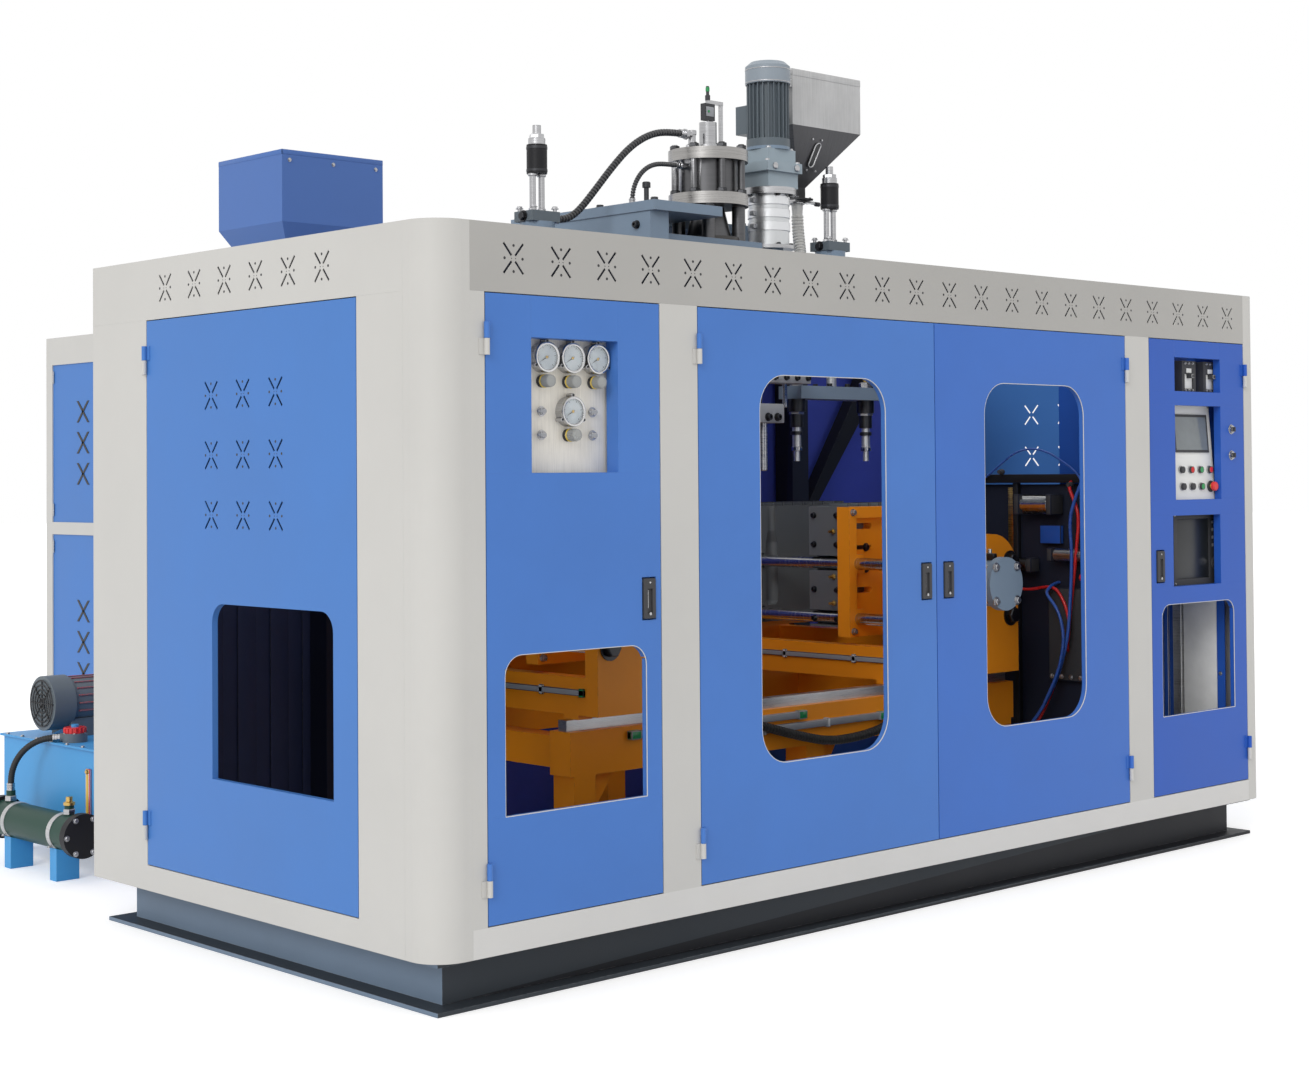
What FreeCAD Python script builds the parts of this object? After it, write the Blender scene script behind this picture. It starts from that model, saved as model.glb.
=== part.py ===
import FreeCAD, Part
import math
import os

# Extrusion blow moulding machine with two mould stations inside a panelled enclosure.
# Millimetres. X runs along the front, Y to the rear, Z up. Places are measured from the
# enclosure's front left corner at floor level, and keep() moves each piece to the row's
# origin, which is the middle of the enclosure's plan, on the floor.

# ---- enclosure -------------------------------------------------------------------------
LENGTH = 4130.0
DEPTH = 1840.0
BASE_HEIGHT = 144.0
PANEL_HEIGHT = 2000.0
CORNER_RADIUS = 100.0
FRAME_THICK = 30.0
SHEET = 3.0
DOOR_THICK = 30.0
DOOR_RETURN = 20.0
DOOR_GAP = 3.0
SILL_HEIGHT = 80.0
DOOR_HEIGHT = 1722.0
GAUGE_DOOR_X = 183.0
GAUGE_DOOR_WIDTH = 651.0
FRONT_DOORS_X = 994.0
FRONT_DOOR_WIDTH = 1107.0
SEAM = 4.0
CONTROL_DOOR_X = 3372.0
CONTROL_DOOR_WIDTH = 656.0
SIDE_DOOR_Y = 348.0
SIDE_DOOR_WIDTH = 1144.0

# ---- vents, hinges and latches ---------------------------------------------------------
VENT_PITCH = 173.0
VENT_START = 10.0
VENT_REACH = 55.0
VENT_SLOT = 7.5
VENT_ANGLE = 50.0
FRONT_VENTS = 22
FIRST_FRONT_VENT = 284.0
SIDE_VENTS = 6
LAST_SIDE_VENT = 1378.0
HINGE_RADIUS = 8.0
HINGE_PIN_RADIUS = 4.0
HINGE_FIT = 0.05
HINGE_HEIGHT = 45.0
HINGE_LEAF = 22.0
HINGE_LEAF_THICK = 3.0
HINGE_STANDOFF = 0.5
HINGE_INSET = 125.0
HANDLE_WIDTH = 47.0
HANDLE_HEIGHT = 117.0
HANDLE_THICK = 12.0
HANDLE_CLEAR = 4.0
HANDLE_TRAY = 22.0
HANDLE_MIDDLE_Z = 1088.0
LATCH_INSET = 50.0

# ---- gauge panel -----------------------------------------------------------------------
PANEL_SETBACK = 60.0
GAUGE_RADIUS = 43.0
GAUGE_DEPTH = 30.0
GAUGE_PITCH = 96.0
GAUGE_MIDDLE_X = 526.0
GAUGE_ROW_Z = 1782.0
LOW_GAUGE_Z = 1630.0
KNOB_RADIUS = 17.0
KNOB_DROP = 67.0

# ---- machine frame, bed and stations ---------------------------------------------------
COLUMN = 100.0
FRAME_LEFT = 815.0
FRAME_RIGHT = 3315.0
FRAME_FRONT_Y = 930.0
FRAME_TOP = 2140.0
BEAM_HEIGHT = 110.0
BEAM_DEPTH = 50.0
BRACE_FOOT = 1280.0
BRACE_REACH = 640.0
BED_FRONT_Y = 570.0
BED_REAR_Y = 1610.0
BED_BEAM = 100.0
BED_TOP = 640.0
RAIL_WIDTH = 40.0
RAIL_HEIGHT = 35.0
LEFT_STATION_X = 1296.0
RIGHT_STATION_X = 2811.0
STATION_HALF = 320.0
MOULD_MIDDLE_Y = 1100.0
CROSSHEAD_FRONT_Y = 440.0
CROSSHEAD_REAR_Y = 1640.0
CROSSHEAD_THICK = 60.0
CROSSHEAD_TOP = 1215.0
CROSSHEAD_RADIUS = 150.0
CARRIAGE_BOTTOM = 690.0
CARRIAGE_BEAM = 60.0
CARRIAGE_HEIGHT = 120.0
PLATEN_BOTTOM = 838.0
PLATEN_TOP = 1323.0
PLATEN_THICK = 60.0
PLATEN_RIM = 42.0
PLATEN_POCKET = 22.0
MOULD_OPEN = 140.0
MOULD_THICK = 170.0
MOULD_HALF_WIDTH = 290.0
MOULD_BOTTOM = 870.0
TIE_BAR_RADIUS = 22.0
TIE_BAR_SIDE = 270.0
TIE_BAR_LOW = 905.0
TIE_BAR_HIGH = 1110.0
RUNNING_FIT = 0.05
CLEAR = 0.5

# ---- blow pins -------------------------------------------------------------------------
PIN_SPREAD = 407.0
PIN_CARRIER_REACH = 240.0
PIN_RADIUS = 17.0
PIN_TIP_Z = 1498.0
PIN_CARRIER_Z = 1740.0
PIN_CARRIER_HEIGHT = 50.0
PIN_ROD_RADIUS = 20.0
BOTTLE_RADIUS = 34.0
BOTTLE_NECK = 21.0
BOTTLE_BOTTOM = 935.0
BOTTLE_SHOULDER = 1180.0
CYLINDER_RADIUS = 60.0
CYLINDER_BOTTOM = 2040.0
CYLINDER_PLATE = 40.0
CYLINDER_FOOT = 36.0
CYLINDER_FOOT_TOP = 2364.0
POST_RADIUS = 11.0
POST_SPREAD = 20.0
POST_TOP = 2497.0
COLLAR_RADIUS = 36.0
COLLAR_TOP = 2598.0

# ---- head, colour extruder and hopper ---------------------------------------------------
HEAD_X = 2134.0
HEAD_BEAM_LEFT = 1720.0
HEAD_BEAM_RIGHT = 2480.0
HEAD_BEAM_WIDTH = 90.0
HEAD_BEAM_TOP = 2386.0
HEAD_PLATE_THICK = 36.0
HEAD_PLATE_FRONT = 903.0
HEAD_STEP_X = 2010.0
HEAD_STEP_Y = 1255.0
HEAD_SEAT = 2318.0
SEAT_THICK = 28.0
HEAD_POST_RADIUS = 25.0
FLANGE_RADIUS = 150.0
FLANGE_THICK = 44.0
FLANGE_TOP = 2658.0
SPACER_TOP = 2448.0
DIE_RADIUS = 110.0
DIE_BOTTOM = 1560.0
STEM_RADIUS = 33.0
STEM_TOP = 2767.0
COLOUR_X = 2461.0
COLOUR_BARREL_RADIUS = 78.0
GEAR_BOTTOM = 2545.0
GEAR_TOP = 2705.0
COLOUR_BOTTOM = 2170.0
COLOUR_FLANGE_Z = 2311.0
MELT_RADIUS = 26.0
FEED_PORT_X = 2575.0
FEED_PORT_Z = 2225.0
MOTOR_RADIUS = 84.0
MOTOR_TOP = 3039.0
HOPPER_X = 2600.0
HOPPER_LENGTH = 400.0
HOPPER_DEPTH = 210.0
HOPPER_TOP = 3033.0
HOPPER_BEND = 2814.0
HOPPER_OUTLET = 2585.0
HOPPER_NECK = 46.0
HOPPER_WALL = 3.0
HOPPER_SPOUT = 50.0
OUTLET_SHIFT = -65.0
GATE_THICK = 8.0

# ---- main extruder, its hopper and its cabinet -------------------------------------------
BARREL_Z = 1930.0
BARREL_RADIUS = 80.0
BAND_RADIUS = 98.0
BAND_LENGTH = 150.0
BAND_PITCH = 215.0
MAIN_HOPPER_X = 1830.0
MAIN_HOPPER_Y = 3508.0
MAIN_HOPPER_LENGTH = 553.0
MAIN_HOPPER_DEPTH = 532.0
MAIN_HOPPER_TOP = 2925.0
MAIN_HOPPER_BEND = 2600.0
MAIN_HOPPER_OUTLET = 2260.0
CABINET_X = 1524.0
CABINET_Y = 3300.0
CABINET_LENGTH = 1216.0
CABINET_DEPTH = 1842.0
CABINET_TOP = 2144.0
CABINET_SKIN = 15.0

# ---- hydraulic unit ----------------------------------------------------------------------
TANK_X = 400.0
TANK_Y = 2500.0
TANK_LENGTH = 640.0
TANK_DEPTH = 800.0
TANK_TOP = 455.0
TANK_LEG = 70.0
COOLER_X = 270.0
COOLER_Z = 172.0
COOLER_Y = 2434.0
COOLER_LENGTH = 606.0
COOLER_RADIUS = 66.0
COOLER_PORT_Z = 278.0
FILTER_X = 460.0
FILTER_Y = 2840.0
FILTER_REACH = 54.0

TOP = BASE_HEIGHT + PANEL_HEIGHT
DOOR_Z = BASE_HEIGHT + SILL_HEIGHT + DOOR_GAP
HEADER_Z = DOOR_Z + DOOR_HEIGHT + DOOR_GAP
HEADER_VENT_Z = (HEADER_Z + TOP) / 2
CORNER_REACH = CORNER_RADIUS + FRAME_THICK
RIGHT_REACH = LENGTH - CONTROL_DOOR_X - CONTROL_DOOR_WIDTH - DOOR_GAP
RIGHT_RADIUS = 0.6 * RIGHT_REACH
DOWN = FreeCAD.Vector(0, 0, -1)
UP = FreeCAD.Vector(0, 0, 1)
BACK = FreeCAD.Vector(0, 1, 0)
RIGHT = FreeCAD.Vector(1, 0, 0)


# ---- shapes shared by several pieces ------------------------------------------------------
def vec(x, y, z):
    return FreeCAD.Vector(x, y, z)


def box(x0, x1, y0, y1, z0, z1):
    return Part.makeBox(x1 - x0, y1 - y0, z1 - z0, vec(x0, y0, z0))


def rod(x, y, z, radius, length, axis=UP):
    return Part.makeCylinder(radius, length, vec(x, y, z), axis)


def weld(*pieces):
    flat = [p for group in pieces for p in (group if isinstance(group, list) else [group])]
    return flat[0].multiFuse(flat[1:]).removeSplitter()


def keep(name, *pieces):
    shape = pieces[0] if len(pieces) == 1 else Part.makeCompound(list(pieces))
    moved = shape.copy()
    moved.translate(vec(-LENGTH / 2, -DEPTH / 2, 0))
    moved.exportStep("parts/" + name + ".step")
    print(name, len(moved.Solids), "solids", round(moved.Volume / 1e6, 2), "litres")


def polygon(points, push):
    """A prism on a closed outline of corner points."""
    corners = [vec(*p) for p in points]
    return Part.Face(Part.makePolygon(corners + corners[:1])).extrude(push)


def rounded(x0, x1, z0, z1, low=0.0, high=0.0, y=0.0):
    """An upright outline whose two lower and two upper corners have their own radii."""
    edges = []
    corners = [(x0, z0, low, 180), (x1, z0, low, 270), (x1, z1, high, 0), (x0, z1, high, 90)]
    points = []
    for x, z, radius, start in corners:
        if radius <= 0:
            points.append((vec(x, y, z), vec(x, y, z)))
            continue
        cx = x + radius if x == x0 else x - radius
        cz = z + radius if z == z0 else z - radius
        turn = [math.radians(start + a) for a in (0, 45, 90)]
        a, b, c = (vec(cx + radius * math.cos(t), y, cz + radius * math.sin(t)) for t in turn)
        edges.append(Part.Arc(a, b, c).toShape())
        points.append((a, c))
    for i, (_, end) in enumerate(points):
        edges.append(Part.makeLine(end, points[(i + 1) % 4][0]))
    return Part.Wire(Part.__sortEdges__(edges))


def slot(x, z, start, reach, width, degrees):
    """A square-ended slot along a ray from (x, z)."""
    ux, uz = math.cos(math.radians(degrees)), math.sin(math.radians(degrees))
    half = width / 2
    ends = [(start, -half), (reach, -half), (reach, half), (start, half)]
    corners = [vec(x + a * ux - b * uz, 0, z + a * uz + b * ux) for a, b in ends]
    return Part.makePolygon(corners + corners[:1])


def vent(x, z):
    """The cross-shaped vent: four slots that stop short of its middle."""
    turns = [VENT_ANGLE, 180 - VENT_ANGLE, 180 + VENT_ANGLE, -VENT_ANGLE]
    return [slot(x, z, VENT_START, VENT_REACH, VENT_SLOT, t) for t in turns]


def plate(outline, holes, depth):
    """An upright plate from y = 0 to depth, with its holes cut right through."""
    face = Part.makeFace(Part.makeCompound([outline] + holes), "Part::FaceMakerBullseye")
    return face.extrude(vec(0, depth, 0))


def on_side(shape, side, start):
    """Turn a piece drawn on the front plane to the left or right side, with x from start."""
    turned = shape.copy()
    if side == "left":
        turned.rotate(vec(0, 0, 0), UP, -90)
        turned.translate(vec(0, start, 0))
    elif side == "right":
        turned.rotate(vec(0, 0, 0), UP, 90)
        turned.translate(vec(LENGTH, start, 0))
    else:
        turned.translate(vec(start, 0, 0))
    return turned


# ---- base and enclosure frames --------------------------------------------------------------
BASE_INSET = 100.0
CHANNEL_WEB = 8.0
CHANNEL_FLANGE = 12.0
FLANGE_REACH = 65.0
CROSS_WIDE = 240.0
CROSS_NARROW = 120.0
FOOT_WIDTH = 60.0
FOOT_PLACES = (3500.0, 3800.0)
LEFT_CROSS = FRAME_LEFT + CROSS_WIDE / 2 - 10
RIGHT_CROSS = FRAME_RIGHT - CROSS_WIDE / 2 + 10


def base_frame():
    low = BASE_INSET - FLANGE_REACH
    outer = box(low, LENGTH - low, low, DEPTH - low, 0, BASE_HEIGHT)
    web = BASE_INSET
    inner = BASE_INSET + CHANNEL_WEB
    well = box(inner, LENGTH - inner, inner, DEPTH - inner, 0, BASE_HEIGHT)
    groove = box(low, LENGTH - low, low, DEPTH - low, CHANNEL_FLANGE, BASE_HEIGHT - CHANNEL_FLANGE)
    groove = groove.cut(box(web, LENGTH - web, web, DEPTH - web, 0, BASE_HEIGHT))
    ring = outer.cut(well).cut(groove)
    beams = []
    for middle, width in ((LEFT_CROSS, CROSS_WIDE), (LENGTH / 2, CROSS_NARROW), (RIGHT_CROSS, CROSS_WIDE)):
        beams.append(box(middle - width / 2, middle + width / 2, inner, DEPTH - inner, 0, BASE_HEIGHT))
    beams += [box(x, x + FOOT_WIDTH, inner, DEPTH - inner, 0, BASE_HEIGHT) for x in FOOT_PLACES]
    keep("base_frame", weld(ring, beams))


def corner_post(reach, radius):
    """The front left corner column, bent round from the front face to the side face."""
    outer = box(0, reach, 0, CORNER_REACH, BASE_HEIGHT, TOP)
    edges = [e for e in outer.Edges if e.BoundBox.XMax < 1 and e.BoundBox.YMax < 1]
    outer = outer.makeFillet(radius, edges)
    inner = box(FRAME_THICK, reach + 1, FRAME_THICK, CORNER_REACH + 1, BASE_HEIGHT, TOP)
    edges = [e for e in inner.Edges
             if e.BoundBox.XMax < FRAME_THICK + 1 and e.BoundBox.YMax < FRAME_THICK + 1]
    inner = inner.makeFillet(radius - FRAME_THICK, edges)
    return outer.cut(inner)


def front_frame():
    sill = BASE_HEIGHT + SILL_HEIGHT
    doors = [(GAUGE_DOOR_X, GAUGE_DOOR_WIDTH), (FRONT_DOORS_X, 2 * FRONT_DOOR_WIDTH + SEAM),
             (CONTROL_DOOR_X, CONTROL_DOOR_WIDTH)]
    stops = [CORNER_REACH]
    for x, width in doors:
        stops += [x - DOOR_GAP, x + width + DOOR_GAP]
    right_post = corner_post(RIGHT_REACH, RIGHT_RADIUS).mirror(vec(LENGTH / 2, 0, 0), RIGHT)
    columns = [box(stops[i], stops[i + 1], 0, FRAME_THICK, sill, HEADER_Z)
               for i in range(0, len(stops) - 1, 2)]
    rail = box(CORNER_REACH, LENGTH - RIGHT_REACH, 0, FRAME_THICK, BASE_HEIGHT, sill)
    keep("front_frame", rail, *columns, corner_post(CORNER_REACH, CORNER_RADIUS), right_post)


def side_frame(name, side):
    front = CORNER_REACH
    low, high = SIDE_DOOR_Y - DOOR_GAP, SIDE_DOOR_Y + SIDE_DOOR_WIDTH + DOOR_GAP
    sill = box(0, FRAME_THICK, front, DEPTH, BASE_HEIGHT, BASE_HEIGHT + SILL_HEIGHT)
    near = box(0, FRAME_THICK, front, low, BASE_HEIGHT, HEADER_Z)
    far = box(0, FRAME_THICK, high, DEPTH, BASE_HEIGHT, HEADER_Z)
    fold = box(FRAME_THICK, 2 * FRAME_THICK, DEPTH - FRAME_THICK, DEPTH, BASE_HEIGHT, HEADER_Z)
    frame = weld(sill, near, far, fold)
    keep(name, frame.mirror(vec(LENGTH / 2, 0, 0), RIGHT) if side == "right" else frame)


def header(width, first, count):
    """A folded header panel with its row of vents."""
    vents = []
    for i in range(count):
        vents += vent(first + i * VENT_PITCH, HEADER_VENT_Z)
    skin = plate(rounded(0, width, HEADER_Z, TOP), vents, SHEET)
    lips = [box(0, width, 0, FRAME_THICK, z, z + SHEET) for z in (HEADER_Z, TOP - SHEET)]
    ends = [box(x, x + SHEET, 0, FRAME_THICK, HEADER_Z, TOP) for x in (0, width - SHEET)]
    return weld(skin, lips, ends)


def vented_headers():
    wide = LENGTH - CORNER_REACH - RIGHT_REACH
    front = on_side(header(wide, FIRST_FRONT_VENT - CORNER_REACH, FRONT_VENTS), "front", CORNER_REACH)
    deep = DEPTH - CORNER_REACH
    left = on_side(header(deep, DEPTH - LAST_SIDE_VENT, SIDE_VENTS), "left", DEPTH)
    last = LAST_SIDE_VENT - (SIDE_VENTS - 1) * VENT_PITCH
    right = on_side(header(deep, last - CORNER_REACH, SIDE_VENTS), "right", CORNER_REACH)
    keep("vented_headers", front, left, right)


def rear_wall():
    gate = HEAD_X - 220
    hole = rounded(gate, gate + 440, BARREL_Z - 200, BARREL_Z + 150)
    service = rounded(400, 1500, BASE_HEIGHT + 120, 1250)
    wall = plate(rounded(2 * FRAME_THICK, LENGTH - 2 * FRAME_THICK, BASE_HEIGHT, TOP), [hole, service],
                 SHEET)
    edge = plate(rounded(2 * FRAME_THICK, LENGTH - 2 * FRAME_THICK, BASE_HEIGHT, TOP),
                 [rounded(3 * FRAME_THICK, LENGTH - 3 * FRAME_THICK, BASE_HEIGHT + 40, TOP - 40)], FRAME_THICK)
    edge.translate(vec(0, DEPTH - FRAME_THICK, 0))
    wall.translate(vec(0, DEPTH - FRAME_THICK, 0))
    keep("rear_wall", weld(wall, edge))


# ---- doors ----------------------------------------------------------------------------------
def knuckle(x, z, inward, door):
    """Half of a lift-off hinge: the door's half has the bore, the frame's half has the pin."""
    axis_y = -HINGE_RADIUS - HINGE_STANDOFF
    barrel = rod(x, axis_y, z, HINGE_RADIUS, HINGE_HEIGHT)
    reach = HINGE_LEAF if inward > 0 else -HINGE_LEAF
    low, high = sorted((x, x + reach))
    leaf = box(low, high, axis_y, 0, z, z + HINGE_HEIGHT).cut(
        box(low, high, axis_y - 1, -HINGE_LEAF_THICK, z - 1, z + HINGE_HEIGHT + 1))
    half = weld(barrel, leaf)
    if door:
        return half.cut(rod(x, axis_y, z - 1, HINGE_PIN_RADIUS + HINGE_FIT, HINGE_HEIGHT * 0.7))
    return weld(half, rod(x, axis_y, z + HINGE_HEIGHT, HINGE_PIN_RADIUS, HINGE_HEIGHT * 0.5))


def hinge_heights():
    return (DOOR_Z + HINGE_INSET, DOOR_Z + DOOR_HEIGHT - HINGE_INSET)


def door_leaf(width, hinge_right, windows, vents, tray_x=None, holes=()):
    """A folded sheet door drawn on the front plane from x = 0.

    Each window is (x0, x1, z0, z1, low radius, high radius, depth of its return).
    """
    top = DOOR_Z + DOOR_HEIGHT
    cuts = [rounded(*w[:6]) for w in windows] + list(holes)
    if tray_x is not None:
        low = HANDLE_MIDDLE_Z - HANDLE_HEIGHT / 2 - HANDLE_CLEAR
        high = HANDLE_MIDDLE_Z + HANDLE_HEIGHT / 2 + HANDLE_CLEAR
        tray = (tray_x - HANDLE_CLEAR, tray_x + HANDLE_WIDTH + HANDLE_CLEAR, low, high)
        cuts.append(rounded(*tray))
    skin = plate(rounded(0, width, DOOR_Z, top), cuts + vents, SHEET)
    inner = rounded(DOOR_RETURN, width - DOOR_RETURN, DOOR_Z + DOOR_RETURN, top - DOOR_RETURN)
    parts = [plate(rounded(0, width, DOOR_Z, top), [inner], DOOR_THICK)]
    for x0, x1, z0, z1, low_r, high_r, depth in windows:
        ring = rounded(x0 - SHEET, x1 + SHEET, z0 - SHEET, z1 + SHEET,
                       low_r + SHEET if low_r else 0, high_r + SHEET if high_r else 0)
        parts.append(plate(ring, [rounded(x0, x1, z0, z1, low_r, high_r)], depth))
    if tray_x is not None:
        x0, x1, z0, z1 = tray
        cup = box(x0 - SHEET, x1 + SHEET, 0, HANDLE_TRAY + SHEET, z0 - SHEET, z1 + SHEET)
        parts.append(cup.cut(box(x0, x1, 0, HANDLE_TRAY, z0, z1)))
    edge = width + DOOR_GAP / 2 if hinge_right else -DOOR_GAP / 2
    for z in hinge_heights():
        parts.append(knuckle(edge, z, -1 if hinge_right else 1, True))
    return weld(skin, parts)


def stiles_and_rails(leaf, windows):
    """Divide a leaf into touching stiles and rails, so that no solid reaches round an opening.

    A rail holds the rounded upper corners of the window below it.
    """
    far = 4 * LENGTH
    ordered = sorted(windows, key=lambda w: w[2])
    regions = []
    floor = -far
    for window in ordered:
        x0, x1, z0, z1, high_r = window[0], window[1], window[2], window[3], window[5]
        crown = z1 - 0.6 * high_r
        top = far if window is ordered[-1] else crown
        regions += [(-far, far, floor, z0), (-far, x0, z0, top), (x1, far, z0, top)]
        floor = crown
    regions.append((ordered[-1][0], ordered[-1][1], floor, far))
    return [solid for x0, x1, z0, z1 in regions
            for solid in leaf.common(box(x0, x1, -far, far, z0, z1)).Solids]


def round_hole(x, z, radius):
    return Part.Wire(Part.makeCircle(radius, vec(x, 0, z), BACK))


def doors():
    windows = [(345 - GAUGE_DOOR_X, 670 - GAUGE_DOOR_X, 1456, 1833, 0, 0, 50),
               (245 - GAUGE_DOOR_X, 775 - GAUGE_DOOR_X, 515, 955, 0, 60, 20)]
    gauge = door_leaf(GAUGE_DOOR_WIDTH, False, windows, [], GAUGE_DOOR_WIDTH - LATCH_INSET - HANDLE_WIDTH + 26)
    keep("door_gauge", *[on_side(s, "front", GAUGE_DOOR_X) for s in stiles_and_rails(gauge, windows)])
    window = (264, 856, 555, 1755, 110, 110, 20)
    left = door_leaf(FRONT_DOOR_WIDTH, False, [window], [], FRONT_DOOR_WIDTH - HANDLE_WIDTH - 27)
    keep("door_left", on_side(left, "front", FRONT_DOORS_X))
    mirrored = (FRONT_DOOR_WIDTH - 842, FRONT_DOOR_WIDTH - 264, 570, 1757, 110, 110, 20)
    right = door_leaf(FRONT_DOOR_WIDTH, True, [mirrored], [], 38)
    keep("door_right", on_side(right, "front", FRONT_DOORS_X + FRONT_DOOR_WIDTH + SEAM))
    x = CONTROL_DOOR_X
    switches = [round_hole(SWITCH_X - x, z, SWITCH_RADIUS + RUNNING_FIT) for z in SWITCH_HEIGHTS]
    windows = [(3541 - x, 3860 - x, 1754, 1884, 0, 0, DOOR_THICK),
               (3541 - x, 3860 - x, 1338, 1700, 0, 0, DOOR_THICK),
               (3520 - x, 3850 - x, 1008, 1278, 0, 0, DOOR_THICK),
               (3438 - x, 3940 - x, 520, 942, 0, 50, 20)]
    control = door_leaf(CONTROL_DOOR_WIDTH, True, windows, [], 35, switches)
    keep("door_control", *[on_side(s, "front", x) for s in stiles_and_rails(control, windows)])
    for name, side in (("door_side_left", "left"), ("door_side_right", "right")):
        mirror = side == "right"
        rear = SIDE_DOOR_Y + SIDE_DOOR_WIDTH
        columns = [rear - y for y in (1108, 931, 754)]
        if mirror:
            columns = [SIDE_DOOR_WIDTH - c for c in columns]
        window = (rear - 1106, rear - 464) if not mirror else (464 - SIDE_DOOR_Y, 1106 - SIDE_DOOR_Y)
        vents = []
        for z in (1700, 1518, 1336):
            for c in columns:
                vents += vent(c, z)
        leaf = door_leaf(SIDE_DOOR_WIDTH, mirror, [window + (535, 1067, 0, 60, 20)], vents)
        keep(name, on_side(leaf, side, SIDE_DOOR_Y if mirror else rear))


def hinge_knuckles():
    pieces = []
    sets = [(GAUGE_DOOR_X, GAUGE_DOOR_WIDTH, False, "front", 0),
            (FRONT_DOORS_X, FRONT_DOOR_WIDTH, False, "front", 0),
            (FRONT_DOORS_X + FRONT_DOOR_WIDTH + SEAM, FRONT_DOOR_WIDTH, True, "front", 0),
            (CONTROL_DOOR_X, CONTROL_DOOR_WIDTH, True, "front", 0),
            (0, SIDE_DOOR_WIDTH, False, "left", SIDE_DOOR_Y + SIDE_DOOR_WIDTH),
            (0, SIDE_DOOR_WIDTH, True, "right", SIDE_DOOR_Y)]
    for x, width, hinge_right, side, start in sets:
        edge = width + DOOR_GAP / 2 if hinge_right else -DOOR_GAP / 2
        for z in hinge_heights():
            half = knuckle(x + edge, z - HINGE_HEIGHT - CLEAR, 1 if hinge_right else -1, False)
            pieces.append(on_side(half, side, start))
    keep("hinge_knuckles", *pieces)


def handles():
    places = {
        "handle_gauge": GAUGE_DOOR_X + GAUGE_DOOR_WIDTH - LATCH_INSET - HANDLE_WIDTH + 26,
        "handle_left": FRONT_DOORS_X + FRONT_DOOR_WIDTH - HANDLE_WIDTH - 27,
        "handle_right": FRONT_DOORS_X + FRONT_DOOR_WIDTH + SEAM + 38,
        "handle_control": CONTROL_DOOR_X + 35,
    }
    low = HANDLE_MIDDLE_Z - HANDLE_HEIGHT / 2
    for name, x in places.items():
        body = box(x, x + HANDLE_WIDTH, -HANDLE_THICK / 2, HANDLE_THICK / 2, low, low + HANDLE_HEIGHT)
        body = body.makeFillet(4, [e for e in body.Edges if abs(e.BoundBox.YLength - HANDLE_THICK) < 0.01])
        body = body.makeChamfer(2, [e for e in body.Edges if e.BoundBox.YMax < -HANDLE_THICK / 2 + 0.01])
        scoop = box(x + 14, x + HANDLE_WIDTH - 14, -HANDLE_THICK, 0, low + 14, low + HANDLE_HEIGHT - 30)
        pivot_z = low + HANDLE_HEIGHT - 8
        pivot = rod(x - HANDLE_CLEAR + CLEAR, 2, pivot_z, 2.5, HANDLE_WIDTH + 2 * (HANDLE_CLEAR - CLEAR), RIGHT)
        keep(name, weld(body.cut(scoop), pivot))


SWITCH_X = 3935.0
SWITCH_HEIGHTS = (1509.0, 1611.0)
SWITCH_RADIUS = 11.0


def key_switches():
    for name, z in zip(("key_switch_lower", "key_switch_upper"), SWITCH_HEIGHTS):
        head = rod(SWITCH_X, -8, z, 15, 7.5, BACK).cut(rod(SWITCH_X, -9, z, 9, 5, BACK))
        barrel = rod(SWITCH_X, -6, z, SWITCH_RADIUS, 40, BACK)
        bow = box(SWITCH_X - 2, SWITCH_X + 2, -20, -6, z - 9, z + 9)
        keep(name, weld(head, barrel, bow))


# ---- gauge panel ----------------------------------------------------------------------------
def gauge_places():
    row = [(GAUGE_MIDDLE_X + i * GAUGE_PITCH, GAUGE_ROW_Z) for i in (-1, 0, 1)]
    return row + [(GAUGE_MIDDLE_X, LOW_GAUGE_Z)]


def gauge_panel():
    y = PANEL_SETBACK
    sheet = box(315, 735, y, y + 4, 1430, 1856)
    parts = [sheet]
    for z in (1470, 1790):
        parts.append(box(100, 900, y + 4, y + 34, z, z + 30))
        parts += [box(x, x + 40, FRAME_THICK, y + 4, z, z + 30) for x in (110, 855)]
    for x, z in gauge_places():
        low = z - KNOB_DROP
        parts.append(rod(x, y - 46, low, KNOB_RADIUS, 30, BACK))
        parts.append(rod(x, y - 18, low, KNOB_RADIUS - 5, 18, BACK))
    for x in (GAUGE_MIDDLE_X - GAUGE_PITCH, GAUGE_MIDDLE_X + GAUGE_PITCH):
        for z in (LOW_GAUGE_Z, LOW_GAUGE_Z - KNOB_DROP):
            parts.append(rod(x, y - 14, z, 8, 14, BACK))
            parts.append(box(x - 22, x, y - 24, y - 13, z - 4, z + 4))
    keep("gauge_panel", weld(parts))


def pressure_gauges():
    gauges = []
    for x, z in gauge_places():
        case = rod(x, PANEL_SETBACK - GAUGE_DEPTH, z, GAUGE_RADIUS, GAUGE_DEPTH, BACK)
        well = rod(x, PANEL_SETBACK - GAUGE_DEPTH, z, GAUGE_RADIUS - 6, 5, BACK)
        gauges.append(case.cut(well))
    keep("pressure_gauges", *gauges)


# ---- control cabinet ------------------------------------------------------------------------
CONTROL_SETBACK = 75.0
CABINET_BACK = 420.0


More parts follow.
